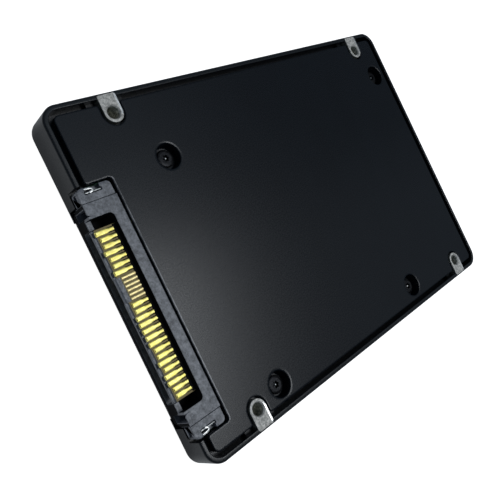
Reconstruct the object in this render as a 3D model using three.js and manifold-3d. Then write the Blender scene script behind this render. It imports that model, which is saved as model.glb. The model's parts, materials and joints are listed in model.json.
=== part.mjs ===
// A 2.5-inch, 7 mm high solid state drive with a 68-contact U.2 plug at one end.
//
// Frame, in millimetres: the drive lies on its label side, so z = 0 is the label face and +Z points out of
// the mounting face. X runs along the drive, with the plug at -X. The origin is the footprint's centre.
// A die-cast tub holds the circuit board. A pressed lid drops inside the tub's rim, and four screws in its
// dimples clamp lid, board and tub together. Four bare pads with M3 holes stand up through the lid's notches.

import * as THREE from 'three';
import { mergeVertices } from 'three/addons/utils/BufferGeometryUtils.js';
import Module from 'manifold-3d';

const wasm = await Module();
wasm.setup();

// ---- Driving dimensions -------------------------------------------------------------------------------

const LENGTH = 99.95;
const WIDTH = 69.85;
const HEIGHT = 7;
const PLUG_END = -LENGTH / 2;
const FAR_END = LENGTH / 2;
const SIDE = WIDTH / 2;
const THROUGH = 20; // how far a cutting tool runs past the drive
const SKIN = 0.05; // clearance between pieces that are cut to fit each other
const GAP = 0.3; // clearance between pieces that are put together
const ARC_STEPS = 3; // segments in a quarter circle of small radius
const PAD_ARC_STEPS = 5; // segments in a quarter circle of a mount pad

const TUB = {
  cornerRadius: 3.5,
  lowerEdge: 0.8,
  upperEdge: 0.45,
  floor: 1.2,
  floorUnderPlug: 0.95,
  rim: 1,
  ledgeZ: 5.3,
  wall: 2.6,
  plugWall: 3.3,
  plugLipSetBack: 0.5,
  wellRadius: 1.65,
};

const LID = {
  top: 6.75,
  bottom: 5.4,
  sheet: 0.8,
  sideMargin: 2,
  plugMargin: 2.2,
  farMargin: 1.95,
  cornerRadius: 1.2,
  edge: 0.3,
  padGap: 0.4,
  plugCutDepth: 7.6,
  plugCutHalf: 24.45,
  plugCutRadius: 0.7,
};

const BOARD = { bottom: 2.9, top: 3.9, edgeGap: 0.25, plugEdge: 7.6, earEdge: 3.55, cornerRadius: 1.2 };

const MOUNT = {
  fromPlugEnd: [14, 90.6],
  fromSide: 4.07,
  padWidth: 4,
  baseWidth: 8,
  baseReach: 7,
  holeRadius: 1.25,
  holeDepth: 4,
  sideHoleBelowFace: 3,
  sideHoleDepth: 4.2,
};

// Lid screws: distance from the plug end, then Y.
const SCREW_PLACES = [
  [21.1, 19.9],
  [21.2, -29.5],
  [94.2, 22.9],
  [70.4, -29.4],
];
const SCREW = {
  headRadius: 1.85,
  headHeight: 0.9,
  headEdge: 0.3,
  shankRadius: 1,
  tip: 1.5,
  recessDepth: 0.6,
  recessRadius: 0.62,
  recessBite: 0.2,
  pinRadius: 0.2,
  pinDrop: 0.1,
  clearance: 0.15,
};
const DIMPLE = {
  lip: 3.02,
  lipDrop: 0.12,
  throat: 2.83,
  mouth: 2.75,
  mouthDrop: 0.3,
  floor: 2.35,
  floorTop: 4.55,
  outerTop: 3.15,
  outerFloor: 2.9,
  relief: 3.35,
};
const SCREW_POST_RADIUS = 2.6;

// The plug's own frame: u is the distance in from the plug end, v is Y from the plug's centre line.
const PLUG_Y = -4.8;
const PLUG = {
  front: 0.1,
  rear: 7.3,
  top: 6.45,
  bottom: 1.2,
  half: 21.4,
  cornerDrop: 2,
  cornerWidth: 0.8,
  earHalf: 24.2,
  earRear: 7.1,
  earBottom: 3.9,
  earRadius: 0.9,
  earSlot: [21.3, 23.4],
  earSlotHeight: [4.5, 5.4],
  earSlotRear: 1,
  cavityRear: 5,
  cavityHalf: 18.6,
  cavityFloor: 2.1,
  leadIn: 0.4,
  cornerBlockTop: 4.5,
  cornerBlockInner: 16.9,
  cornerBlockDepth: 1.2,
  guide: [19.1, 20.6],
  guideHeight: [2.3, 6.1],
  guideRear: 5,
};
const TONGUE = {
  half: 16.7,
  tip: 0,
  top: 5.2,
  bottom: 4.2,
  nose: 0.2,
  stepDepth: 0.4,
  stepDrop: 0.3,
  keyHalf: 2.35,
  sidebandCentre: 5.08,
};
const BLADE = { thick: 0.15, wideFront: 0.84, wideRear: 0.58, wideStart: 2.7, taper: 0.6, fine: 0.42 };
const SIDEBAND_WINDOW = { half: 2.2, depth: 0.4, height: 0.5 };
const ROW_BAR = { from: 5.5, to: 6.8 };
const FOOT = { reach: 8.75, thick: 0.15 };

// A strip of tinned steel in each ear. Its tab folds outwards, and its leg is soldered in the board.
const LOCK = {
  from: 1.7,
  to: 4.9,
  v: 23.05,
  thick: 0.25,
  clearance: 0.1,
  top: 6.25,
  tabFrom: 2.2,
  tabTo: 3.3,
  tabBottom: 5.7,
  tabEnd: 24.1,
  legFrom: 3.9,
  legTo: 4.8,
  legTip: 2.6,
};

const LABEL = { halfLength: 45, halfWidth: 30.5, radius: 2, recess: 0.3, thick: 0.12, margin: 0.25 };

const WIDE_PITCH = 1.27;
const FINE_PITCH = 0.8;
const LONG_TIP = 0.35;
const SHORT_TIP = 0.8;
const SIDEBAND_TIP = 1.2;
const LANE_TIP = 0.5;

const BLACK_PAINT = { color: 0x1c1e21, roughness: 0.5, metalness: 0.3 };
const BARE_STEEL = { color: 0xc4c6c8, roughness: 0.35, metalness: 1 };
const BLACK_SCREW = { color: 0x18191b, roughness: 0.35, metalness: 0.8 };
const BLACK_PLASTIC = { color: 0x24262c, roughness: 0.6, metalness: 0 };
const GOLD = { color: 0xe6c766, roughness: 0.3, metalness: 1 };
const BOARD_GREEN = { color: 0x0f3d2c, roughness: 0.5, metalness: 0 };
const CHIP_EPOXY = { color: 0x15161a, roughness: 0.55, metalness: 0 };
const PAD_GREY = { color: 0x8d93a0, roughness: 0.9, metalness: 0 };
const TANTALUM = { color: 0xc9902e, roughness: 0.5, metalness: 0 };
const FERRITE = { color: 0x3a3b3e, roughness: 0.7, metalness: 0 };
const LABEL_PAPER = { color: 0xe4e5e2, roughness: 0.6, metalness: 0 };

// ---- Solids from three.js geometry --------------------------------------------------------------------

function solid(geometry) {
  const bare = geometry.clone();
  bare.deleteAttribute('normal');
  bare.deleteAttribute('uv');
  const merged = mergeVertices(bare, 1e-4);
  const mesh = new wasm.Mesh({
    numProp: 3,
    vertProperties: new Float32Array(merged.attributes.position.array),
    triVerts: new Uint32Array(merged.index.array),
  });
  return new wasm.Manifold(mesh);
}

function box([x0, x1], [y0, y1], [z0, z1]) {
  const geometry = new THREE.BoxGeometry(x1 - x0, y1 - y0, z1 - z0);
  return solid(geometry.translate((x0 + x1) / 2, (y0 + y1) / 2, (z0 + z1) / 2));
}

function plugBox([u0, u1], [v0, v1], zs) {
  return box([PLUG_END + u0, PLUG_END + u1], [PLUG_Y + v0, PLUG_Y + v1], zs);
}

// A solid of revolution about a vertical axis through (x, y). The profile is [radius, z] from axis to axis.
function turned(profile, [x, y], segments = 20) {
  const points = profile.map(([r, z]) => new THREE.Vector2(r, z));
  const geometry = new THREE.LatheGeometry(points, segments);
  return solid(geometry.rotateX(Math.PI / 2).translate(x, y, 0));
}

function rod(radius, [z0, z1], place, segments = 16) {
  return turned([[0, z0], [radius, z0], [radius, z1], [0, z1]], place, segments);
}

// A rod along Y.
function crossRod(radius, x, [y0, y1], z, segments = 16) {
  const geometry = new THREE.CylinderGeometry(radius, radius, y1 - y0, segments);
  return solid(geometry.translate(x, (y0 + y1) / 2, z));
}

function roundedRectangle([x0, x1], [y0, y1], r) {
  const shape = new THREE.Shape();
  shape.moveTo(x0 + r, y0);
  shape.lineTo(x1 - r, y0);
  shape.absarc(x1 - r, y0 + r, r, -Math.PI / 2, 0);
  shape.lineTo(x1, y1 - r);
  shape.absarc(x1 - r, y1 - r, r, 0, Math.PI / 2);
  shape.lineTo(x0 + r, y1);
  shape.absarc(x0 + r, y1 - r, r, Math.PI / 2, Math.PI);
  shape.lineTo(x0, y0 + r);
  shape.absarc(x0 + r, y0 + r, r, Math.PI, 1.5 * Math.PI);
  return shape;
}

function prism(shape, [z0, z1], curveSegments = ARC_STEPS) {
  const geometry = new THREE.ExtrudeGeometry(shape, { depth: z1 - z0, bevelEnabled: false, curveSegments });
  return solid(geometry.translate(0, 0, z0));
}

// A prism whose lower and upper edges are both rounded by `edge`.
function softPrism(shape, [z0, z1], edge, bevelSegments = 2) {
  const geometry = new THREE.ExtrudeGeometry(shape, {
    depth: z1 - z0 - 2 * edge,
    bevelThickness: edge,
    bevelSize: edge,
    bevelOffset: -edge,
    bevelSegments,
    curveSegments: ARC_STEPS,
  });
  return solid(geometry.translate(0, 0, z0 + edge));
}

const join = (parts) => parts.reduce((sum, part) => sum.add(part));
const cutAll = (body, tools) => tools.reduce((left, tool) => left.subtract(tool), body);
const mirrored = (make) => [make(1), make(-1)];
const span = (a, b) => [Math.min(a, b), Math.max(a, b)];

const drive = new THREE.Group();

function addPiece(name, manifold, material) {
  const { numProp, vertProperties, triVerts, numVert } = manifold.getMesh();
  const positions = new Float32Array(numVert * 3);
  for (let i = 0; i < numVert; i++) {
    positions.set(vertProperties.subarray(i * numProp, i * numProp + 3), i * 3);
  }
  const geometry = new THREE.BufferGeometry();
  geometry.setAttribute('position', new THREE.BufferAttribute(positions, 3));
  geometry.setIndex(new THREE.BufferAttribute(new Uint32Array(triVerts), 1));
  geometry.computeVertexNormals();
  const mesh = new THREE.Mesh(geometry, new THREE.MeshStandardMaterial(material));
  mesh.name = name;
  drive.add(mesh);
}

// ---- Tub ----------------------------------------------------------------------------------------------

const mountPlaces = MOUNT.fromPlugEnd.flatMap((along) => mirrored((side) => ({ x: PLUG_END + along, side })));
const screwPlaces = SCREW_PLACES.map(([along, y]) => [PLUG_END + along, y]);

// An upright slab from the drive's side to a round end at the mount hole's centre.
function padShape({ x, side }, halfWidth, outerY) {
  const endY = side * (SIDE - MOUNT.fromSide);
  const shape = new THREE.Shape();
  shape.moveTo(x - halfWidth, side * outerY);
  shape.lineTo(x - halfWidth, endY);
  shape.absarc(x, endY, halfWidth, Math.PI, side > 0 ? 2 * Math.PI : 0, side < 0);
  shape.lineTo(x + halfWidth, side * outerY);
  return shape;
}

function tubBlank() {
  const outline = roundedRectangle([PLUG_END, FAR_END], [-SIDE, SIDE], TUB.cornerRadius);
  const split = HEIGHT / 2;
  const lower = softPrism(outline, [0, 2 * HEIGHT], TUB.lowerEdge, 3);
  const upper = softPrism(outline, [-HEIGHT, HEIGHT], TUB.upperEdge, 1);
  const everywhere = [-LENGTH, LENGTH];
  const lowerHalf = box(everywhere, everywhere, [-THROUGH, split]);
  const upperHalf = box(everywhere, everywhere, [split, THROUGH]);
  return lower.intersect(lowerHalf).add(upper.intersect(upperHalf));
}

function tubPocket() {
  const well = roundedRectangle(
    [PLUG_END + TUB.plugWall, FAR_END - TUB.wall],
    [-SIDE + TUB.wall, SIDE - TUB.wall],
    TUB.wellRadius,
  );
  const mouth = roundedRectangle(
    [PLUG_END + TUB.rim, FAR_END - TUB.rim],
    [-SIDE + TUB.rim, SIDE - TUB.rim],
    TUB.cornerRadius - TUB.rim,
  );
  return prism(well, [TUB.floor, THROUGH]).add(prism(mouth, [TUB.ledgeZ, THROUGH]));
}

function mountBoss(place) {
  const { x, side } = place;
  const half = MOUNT.baseWidth / 2;
  const inner = side * (SIDE - MOUNT.baseReach);
  const base = box([x - half, x + half], span(inner, side * (SIDE - TUB.rim)), [TUB.floor, TUB.ledgeZ]);
  const outline = padShape(place, MOUNT.padWidth / 2, SIDE - TUB.rim / 2);
  const pad = prism(outline, [TUB.ledgeZ - 1, HEIGHT], PAD_ARC_STEPS);
  return base.add(pad);
}

function mountHoles({ x, side }) {
  const y = side * (SIDE - MOUNT.fromSide);
  const down = rod(MOUNT.holeRadius, [HEIGHT - MOUNT.holeDepth, THROUGH], [x, y]);
  const inner = side * (SIDE - MOUNT.sideHoleDepth);
  const z = HEIGHT - MOUNT.sideHoleBelowFace;
  return down.add(crossRod(MOUNT.holeRadius, x, span(inner, side * THROUGH * 2), z));
}

function screwPost(place) {
  return rod(SCREW_POST_RADIUS, [TUB.floor - SKIN, BOARD.bottom], place);
}

// The opening in the end wall: shallow steps for the plug's ears and a deep one for its body.
function plugOpening() {
  const earHalf = PLUG.earHalf + GAP;
  const bodyHalf = PLUG.half + GAP;
  return join([
    plugBox([-THROUGH, TUB.plugWall + GAP], [-earHalf, earHalf], [PLUG.earBottom - GAP, THROUGH]),
    plugBox([-THROUGH, PLUG.rear + GAP], [-bodyHalf, bodyHalf], [TUB.floorUnderPlug, THROUGH]),
    plugBox([-THROUGH, TUB.plugLipSetBack], [-bodyHalf, bodyHalf], [-THROUGH, THROUGH]),
  ]);
}

function labelRecess() {
  const { halfLength, halfWidth, margin } = LABEL;
  const outline = roundedRectangle(
    [-halfLength - margin, halfLength + margin],
    [-halfWidth - margin, halfWidth + margin],
    LABEL.radius + margin,
  );
  return prism(outline, [-THROUGH, LABEL.recess]);
}

function tub() {
  const shell = join([
    tubBlank().subtract(tubPocket()),
    ...mountPlaces.map(mountBoss),
    ...screwPlaces.map(screwPost),
  ]);
  return cutAll(shell, [
    ...mountPlaces.map(mountHoles),
    ...screwPlaces.map((place) => rod(SCREW.shankRadius + SKIN, [TUB.floor, THROUGH], place)),
    ...screwPlaces.map((place) => rod(DIMPLE.relief, [BOARD.bottom, THROUGH], place)),
    plugOpening(),
    labelRecess(),
  ]);
}

addPiece('case_tub', tub(), BLACK_PAINT);

// ---- Lid ----------------------------------------------------------------------------------------------

const lidX = [PLUG_END + LID.plugMargin, FAR_END - LID.farMargin];
const lidHalf = SIDE - LID.sideMargin;

function lidPan() {
  const { sheet, cornerRadius, top, bottom } = LID;
  const outer = roundedRectangle(lidX, [-lidHalf, lidHalf], cornerRadius);
  const inner = roundedRectangle(
    [lidX[0] + sheet, lidX[1] - sheet],
    [-lidHalf + sheet, lidHalf - sheet],
    cornerRadius - sheet / 2,
  );
  const block = softPrism(outer, [bottom - THROUGH, top], LID.edge);
  const below = prism(inner, [-THROUGH, top - sheet]);
  const skirtEnd = box([-LENGTH, LENGTH], [-LENGTH, LENGTH], [-2 * THROUGH, bottom]);
  return block.subtract(skirtEnd).subtract(below);
}

const dimpleOuter = (place) =>
  turned([[0, BOARD.top], [DIMPLE.outerFloor, BOARD.top], [DIMPLE.outerTop, LID.top - LID.sheet],
    [DIMPLE.outerTop, LID.top - LID.edge], [0, LID.top - LID.edge]], place);

const dimpleInner = (place) =>
  turned([[0, DIMPLE.floorTop], [DIMPLE.floor, DIMPLE.floorTop], [DIMPLE.mouth, LID.top - DIMPLE.mouthDrop],
    [DIMPLE.throat, LID.top - DIMPLE.lipDrop], [DIMPLE.lip, LID.top], [DIMPLE.lip, THROUGH],
    [0, THROUGH]], place);

function plugCut() {
  const { plugCutDepth, plugCutHalf, plugCutRadius } = LID;
  const outline = roundedRectangle(
    [PLUG_END - THROUGH, PLUG_END + plugCutDepth],
    [PLUG_Y - plugCutHalf, PLUG_Y + plugCutHalf],
    plugCutRadius,
  );
  return prism(outline, [-THROUGH, THROUGH]);
}

function lid() {
  const notchHalf = MOUNT.padWidth / 2 + LID.padGap;
  const padNotch = (place) =>
    prism(padShape(place, notchHalf, SIDE + THROUGH), [-THROUGH, THROUGH], PAD_ARC_STEPS);
  return cutAll(join([lidPan(), ...screwPlaces.map(dimpleOuter)]), [
    ...screwPlaces.map(dimpleInner),
    ...screwPlaces.map((place) => rod(SCREW.shankRadius + SCREW.clearance, [-THROUGH, THROUGH], place)),
    ...mountPlaces.map(padNotch),
    plugCut(),
  ]);
}

addPiece('cover_lid', lid(), BLACK_PAINT);

// ---- Lid screws ---------------------------------------------------------------------------------------

// A six-lobed driver recess with a pin left standing in its middle.
function driverRecess([x, y]) {
  const lobes = 6;
  const shape = new THREE.Shape();
  for (let i = 0; i < 2 * lobes; i++) {
    const angle = (i * Math.PI) / lobes;
    const r = SCREW.recessRadius + (SCREW.recessBite / 2) * (i % 2 ? -1 : 1);
    shape[i ? 'lineTo' : 'moveTo'](x + r * Math.cos(angle), y + r * Math.sin(angle));
  }
  const headTop = DIMPLE.floorTop + SCREW.headHeight;
  const socket = prism(shape, [headTop - SCREW.recessDepth, THROUGH]);
  return socket.subtract(rod(SCREW.pinRadius, [0, headTop - SCREW.pinDrop], [x, y], 6));
}

function lidScrew(place) {
  const { headRadius, headHeight, headEdge, shankRadius, tip } = SCREW;
  const seat = DIMPLE.floorTop;
  const top = seat + headHeight;
  const shank = [[0, tip], [shankRadius - headEdge, tip], [shankRadius, tip + headEdge], [shankRadius, seat]];
  const head = [[headRadius, seat], [headRadius, top - headEdge], [headRadius - headEdge, top], [0, top]];
  const body = turned([...shank, ...head], place);
  return body.subtract(driverRecess(place));
}

screwPlaces.forEach((place, i) => addPiece(`cover_screw_${i + 1}`, lidScrew(place), BLACK_SCREW));

// ---- Circuit board ------------------------------------------------------------------------------------

function board() {
  const { bottom, top, edgeGap, plugEdge, earEdge, cornerRadius } = BOARD;
  const zs = [bottom - THROUGH, THROUGH];
  const half = SIDE - TUB.wall - edgeGap;
  const xs = [PLUG_END + earEdge, FAR_END - TUB.wall - edgeGap];
  const outline = roundedRectangle(xs, [-half, half], cornerRadius);
  const reach = MOUNT.baseReach + edgeGap;
  const notch = ({ x, side }) => {
    const halfWidth = MOUNT.baseWidth / 2 + edgeGap;
    return box([x - halfWidth, x + halfWidth], span(side * (SIDE - reach), side * SIDE), zs);
  };
  const plugHalf = PLUG.half + GAP;
  return cutAll(prism(outline, [bottom, top]), [
    plugBox([0, plugEdge], [-plugHalf, plugHalf], zs),
    ...mountPlaces.map(notch),
    ...screwPlaces.map((place) => rod(SCREW.shankRadius + SCREW.clearance, zs, place)),
    ...mirrored((side) => lockSlotInBoard(side)),
  ]);
}

// ---- Plug contacts ------------------------------------------------------------------------------------

const wideRow = (firstV, count) => Array.from({ length: count }, (_, i) => firstV - i * WIDE_PITCH);
const fineRow = (firstV, count) => Array.from({ length: count }, (_, i) => firstV - i * FINE_PITCH);

// The first blade of each row, and the gap between the signal and power rows that the sideband blades fill.
const FIRST_WIDE = 15.875;
const KEY_GAP = 6.35;
const FIRST_POWER = FIRST_WIDE - 6 * WIDE_PITCH - KEY_GAP;
const FIRST_SIDEBAND = TONGUE.sidebandCentre + 2.5 * FINE_PITCH;
const FIRST_LANE = 19.5 * FINE_PITCH;

// Which blades of a row reach the tongue's tip and make contact first.
const SIGNAL_LONG = [0, 3, 6];
const POWER_LONG = [2, 3, 4, 5, 6, 9, 11, 12];

// The two faces of the tongue. A row's blades lie in `zs`, run back to `rear`, and its feet lie in `foot`.
const UPPER = {
  zs: [TONGUE.top, TONGUE.top + BLADE.thick],
  rear: PLUG.rear + 2 * GAP,
  foot: [BOARD.top, BOARD.top + FOOT.thick],
};
const LOWER = {
  zs: [TONGUE.bottom - BLADE.thick, TONGUE.bottom],
  rear: PLUG.rear + SKIN,
  foot: [BOARD.bottom - FOOT.thick, BOARD.bottom],
};

function wideBlade(v, tip) {
  const { wideFront, wideRear, wideStart, taper } = BLADE;
  const outline = (side) => [
    [tip, (side * wideFront) / 2],
    [wideStart, (side * wideFront) / 2],
    [wideStart + taper, (side * wideRear) / 2],
    [UPPER.rear + FOOT.thick, (side * wideRear) / 2],
  ];
  const points = [...outline(-1), ...outline(1).reverse()];
  const places = points.map(([u, dv]) => new THREE.Vector2(PLUG_END + u, PLUG_Y + v + dv));
  return prism(new THREE.Shape(places), UPPER.zs);
}

function fineBlade(v, tip, row) {
  return plugBox([tip, row.rear + FOOT.thick], [v - BLADE.fine / 2, v + BLADE.fine / 2], row.zs);
}

// The tail drops behind the housing and ends in a foot soldered to the board's upper or lower face.
function tail(v, width, row) {
  const vs = [v - width / 2, v + width / 2];
  const drop = plugBox([row.rear, row.rear + FOOT.thick], vs, [row.foot[0], row.zs[1]]);
  return drop.add(plugBox([row.rear, FOOT.reach], vs, row.foot));
}

// One row of blades, held together by a bar hidden inside the housing's rear wall.
function contactRow(vs, width, row, blade) {
  const ends = [Math.min(...vs) - width / 2, Math.max(...vs) + width / 2];
  const bar = plugBox([ROW_BAR.from, ROW_BAR.to], ends, row.zs);
  return join([bar, ...vs.flatMap((v, i) => [blade(v, i), tail(v, width, row)])]);
}

function wideContacts(vs, long) {
  const tip = (i) => (long.includes(i) ? LONG_TIP : SHORT_TIP);
  return contactRow(vs, BLADE.wideRear, UPPER, (v, i) => wideBlade(v, tip(i)));
}

function fineContacts(vs, tip, row) {
  return contactRow(vs, BLADE.fine, row, (v) => fineBlade(v, tip, row));
}

const signalVs = wideRow(FIRST_WIDE, 7);
const powerVs = wideRow(FIRST_POWER, 15);
const sidebandVs = fineRow(FIRST_SIDEBAND, 6);
const laneVs = fineRow(FIRST_LANE, 40);
const LANE_GROUPS = [
  ['lane_contacts_1', 0, 10],
  ['lane_contacts_2', 10, 20],
  ['lane_contacts_3', 20, 30],
  ['lane_contacts_4', 30, 40],
];

addPiece('signal_contacts', wideContacts(signalVs, SIGNAL_LONG), GOLD);
addPiece('sideband_contacts', fineContacts(sidebandVs, SIDEBAND_TIP, UPPER), GOLD);
addPiece('power_contacts', wideContacts(powerVs, POWER_LONG), GOLD);
LANE_GROUPS.forEach(([name, from, to]) => {
  addPiece(name, fineContacts(laneVs.slice(from, to), LANE_TIP, LOWER), GOLD);
});

// ---- Plug housing -------------------------------------------------------------------------------------

// A cross-section of (across, z) points, extruded by `depth` and stood up so that its axes become `axes`.
function standing(points, depth, axes, [x, y]) {
  const shape = new THREE.Shape(points.map(([across, z]) => new THREE.Vector2(across, z)));
  const geometry = new THREE.ExtrudeGeometry(shape, { depth, bevelEnabled: false });
  const turn = new THREE.Matrix4().makeBasis(...axes.map((axis) => new THREE.Vector3(...axis)));
  geometry.applyMatrix4(turn.setPosition(x, y, 0));
  return solid(geometry);
}

// A cross-section in (v, z), run along u.
function alongPlug(points, [u0, u1]) {
  return standing(points, u1 - u0, [[0, 1, 0], [0, 0, 1], [1, 0, 0]], [PLUG_END + u0, PLUG_Y]);
}

// A cross-section in (u, z), run across v.
function acrossPlug(points, [v0, v1]) {
  return standing(points, v1 - v0, [[1, 0, 0], [0, 0, 1], [0, -1, 0]], [PLUG_END, PLUG_Y + v1]);
}

function housingBlank() {
  const { front, rear, top, bottom, half, earHalf, earRear, earBottom, earRadius } = PLUG;
  const cutZ = bottom + PLUG.cornerDrop;
  const cutV = half - PLUG.cornerWidth;
  const section = [[-half, top], [-half, cutZ], [-cutV, bottom], [cutV, bottom], [half, cutZ], [half, top]];
  const earXs = [PLUG_END + front, PLUG_END + earRear];
  const ears = roundedRectangle(earXs, [PLUG_Y - earHalf, PLUG_Y + earHalf], earRadius);
  return alongPlug(section, [front, rear]).add(prism(ears, [earBottom, top]));
}

// The hollow round the tongue, open at the front and the top, with a block left in each front lower corner.
function cavity() {
  const { front, cavityRear, cavityHalf, cavityFloor, leadIn } = PLUG;
  const { cornerBlockTop, cornerBlockInner, cornerBlockDepth } = PLUG;
  const past = front - 1;
  const rear = [[past, THROUGH], [cavityRear, THROUGH], [cavityRear, cavityFloor]];
  const ramp = [[front + leadIn, cavityFloor], [front, cavityFloor - leadIn], [past, cavityFloor - leadIn]];
  const upper = plugBox([past, cavityRear], [-cavityHalf, cavityHalf], [cornerBlockTop, THROUGH]);
  const deep = plugBox([cornerBlockDepth, cavityRear], [-cavityHalf, cavityHalf], [cavityFloor, THROUGH]);
  return acrossPlug([...rear, ...ramp], [-cornerBlockInner, cornerBlockInner]).add(upper).add(deep);
}

// The tongue that carries the contacts. Its tip is stepped down, except between the signal and power rows.
function tongue() {
  const { half, tip, top, bottom, nose, stepDepth, stepDrop, keyHalf, sidebandCentre } = TONGUE;
  const root = PLUG.cavityRear + GAP;
  const lower = [[root, bottom], [tip + nose, bottom], [tip, bottom + nose]];
  const step = tip + stepDepth;
  const ledge = top - stepDrop;
  const stepped = [[tip, ledge], [step, ledge], [step, top], [root, top]];
  const plain = [[tip, top - nose], [tip + nose, top], [root, top]];
  const key = acrossPlug([...lower, ...plain], [sidebandCentre - keyHalf, sidebandCentre + keyHalf]);
  return acrossPlug([...lower, ...stepped], [-half, half]).add(key);
}

function guideSlot(side) {
  const { front, guide, guideHeight, guideRear } = PLUG;
  return plugBox([front - 1, guideRear], span(side * guide[0], side * guide[1]), guideHeight);
}

function earSlot(side) {
  const { front, earSlot: slot, earSlotHeight, earSlotRear } = PLUG;
  return plugBox([front - 1, earSlotRear], span(side * slot[0], side * slot[1]), earSlotHeight);
}

// The slot in the rear wall that a row of contacts is pressed into.
function rowSlot(vs, width, row) {
  const [z0, z1] = row.zs;
  const ends = [Math.min(...vs) - width / 2 - SKIN, Math.max(...vs) + width / 2 + SKIN];
  const zs = row === UPPER ? [z0, z1 + SKIN] : [z0 - SKIN, z1];
  return plugBox([PLUG.cavityRear - 1, PLUG.rear + 1], ends, zs);
}

// The window in the rear wall that the sideband blades run into.
function sidebandWindow() {
  const { half, depth, height } = SIDEBAND_WINDOW;
  const vs = [TONGUE.sidebandCentre - half, TONGUE.sidebandCentre + half];
  return plugBox([PLUG.cavityRear - 1, PLUG.cavityRear + depth], vs, [TONGUE.top, TONGUE.top + height]);
}

function housing() {
  const shell = housingBlank().subtract(cavity()).add(tongue());
  return cutAll(shell, [
    ...mirrored(guideSlot),
    ...mirrored(earSlot),
    ...mirrored(lockSlot),
    sidebandWindow(),
    rowSlot(signalVs, BLADE.wideRear, UPPER),
    rowSlot(sidebandVs, BLADE.fine, UPPER),
    rowSlot(powerVs, BLADE.wideRear, UPPER),
    rowSlot(laneVs, BLADE.fine, LOWER),
  ]);
}

addPiece('connector_housing', housing(), BLACK_PLASTIC);

// ---- Board locks --------------------------------------------------------------------------------------

function lockSlit(side) {
  return span(side * (LOCK.v - LOCK.clearance), side * (LOCK.v + LOCK.thick + LOCK.clearance));
}

function lockSlot(side) {
  const { from, to, tabFrom, tabTo, tabBottom, v, clearance } = LOCK;
  const slit = plugBox([from - clearance, to + clearance], lockSlit(side), [0, THROUGH]);
  const tabWay = span(side * v, side * (PLUG.earHalf + 1));
  return slit.add(plugBox([tabFrom - clearance, tabTo + clearance], tabWay, [tabBottom, THROUGH]));
}

function lockSlotInBoard(side) {
  const { legFrom, legTo, clearance } = LOCK;
  return plugBox([legFrom - clearance, legTo + clearance], lockSlit(side), [0, THROUGH]);
}

function boardLock(side) {
  const { from, to, v, thick, top, tabFrom, tabTo, tabEnd, legFrom, legTo, legTip } = LOCK;
  const strip = span(side * v, side * (v + thick));
  return join([
    plugBox([from, to], strip, [BOARD.top + SKIN, top]),
    plugBox([legFrom, legTo], strip, [legTip, top]),
    plugBox([tabFrom, tabTo], span(side * v, side * tabEnd), [top - thick, top]),
  ]);
}

addPiece('board_lock_left', boardLock(1), BARE_STEEL);
addPiece('board_lock_right', boardLock(-1), BARE_STEEL);
addPiece('main_board', board(), BOARD_GREEN);

// ---- Components on the board --------------------------------------------------------------------------

// Heights above the board, and sizes along the drive and across it. Places are [from the plug end, Y].
const CONTROLLER = { size: [19, 19, 1.4], place: [32, 1] };
const DRAM = { size: [13, 9, 1.1], places: [[32, -17], [32, 18]] };
const POWER_CHIP = { size: [6, 6, 0.9], place: [15, 3] };
const FLASH = { size: [14, 18], upperHeight: 1.35, lowerHeight: 1.2, along: [50, 67], ys: [17, -12] };
const CAPACITOR = { size: [7.3, 4.3, 1.5], along: 82.5, firstY: 13, pitch: 5.6, count: 6 };
const CHOKE = { size: [4, 4, 1.3], places: [[15, 12], [15, -7], [15, -16]] };
const FILLER = { flashSize: [29, 16], controllerSize: [17, 17] };

// A block on the board's upper face (up = true) or under it.
function onBoard([along, y], [length, width, height], up = true) {
  const x = PLUG_END + along;
  const zs = up ? [BOARD.top, BOARD.top + height] : [BOARD.bottom - height, BOARD.bottom];
  return box([x - length / 2, x + length / 2], [y - width / 2, y + width / 2], zs);
}

// A soft pad from a part on the board to the lid above or the tub's floor below.
function gapFiller([along, y], [length, width], partHeight, up = true) {
  const x = PLUG_END + along;
  const zs = up ? [BOARD.top + partHeight, LID.top - LID.sheet] : [TUB.floor, BOARD.bottom - partHeight];
  return box([x - length / 2, x + length / 2], [y - width / 2, y + width / 2], zs);
}

addPiece('controller_chip', onBoard(CONTROLLER.place, CONTROLLER.size), CHIP_EPOXY);
DRAM.places.forEach((place, i) => addPiece(`dram_chip_${i + 1}`, onBoard(place, DRAM.size), CHIP_EPOXY));
addPiece('power_chip', onBoard(POWER_CHIP.place, POWER_CHIP.size), CHIP_EPOXY);

const flashPlaces = FLASH.along.flatMap((along) => FLASH.ys.map((y) => [along, y]));
flashPlaces.forEach((place, i) => {
  addPiece(`flash_chip_${i + 1}`, onBoard(place, [...FLASH.size, FLASH.upperHeight]), CHIP_EPOXY);
  const below = onBoard(place, [...FLASH.size, FLASH.lowerHeight], false);
  addPiece(`flash_chip_${i + 1 + flashPlaces.length}`, below, CHIP_EPOXY);
});

FLASH.ys.forEach((y, i) => {
  const centre = [(FLASH.along[0] + FLASH.along[1]) / 2, y];
  const above = gapFiller(centre, FILLER.flashSize, FLASH.upperHeight);
  const below = gapFiller(centre, FILLER.flashSize, FLASH.lowerHeight, false);
  addPiece(`thermal_pad_upper_${i + 1}`, above, PAD_GREY);
  addPiece(`thermal_pad_lower_${i + 1}`, below, PAD_GREY);
});
const controllerFiller = gapFiller(CONTROLLER.place, FILLER.controllerSize, CONTROLLER.size[2]);
addPiece('thermal_pad_controller', controllerFiller, PAD_GREY);

// The bank of capacitors that carries the drive through a loss of power.
for (let i = 0; i < CAPACITOR.count; i++) {
  const place = [CAPACITOR.along, CAPACITOR.firstY - i * CAPACITOR.pitch];
  addPiece(`backup_capacitor_${i + 1}`, onBoard(place, CAPACITOR.size), TANTALUM);
}

CHOKE.places.forEach((place, i) => addPiece(`power_choke_${i + 1}`, onBoard(place, CHOKE.size), FERRITE));

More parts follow.
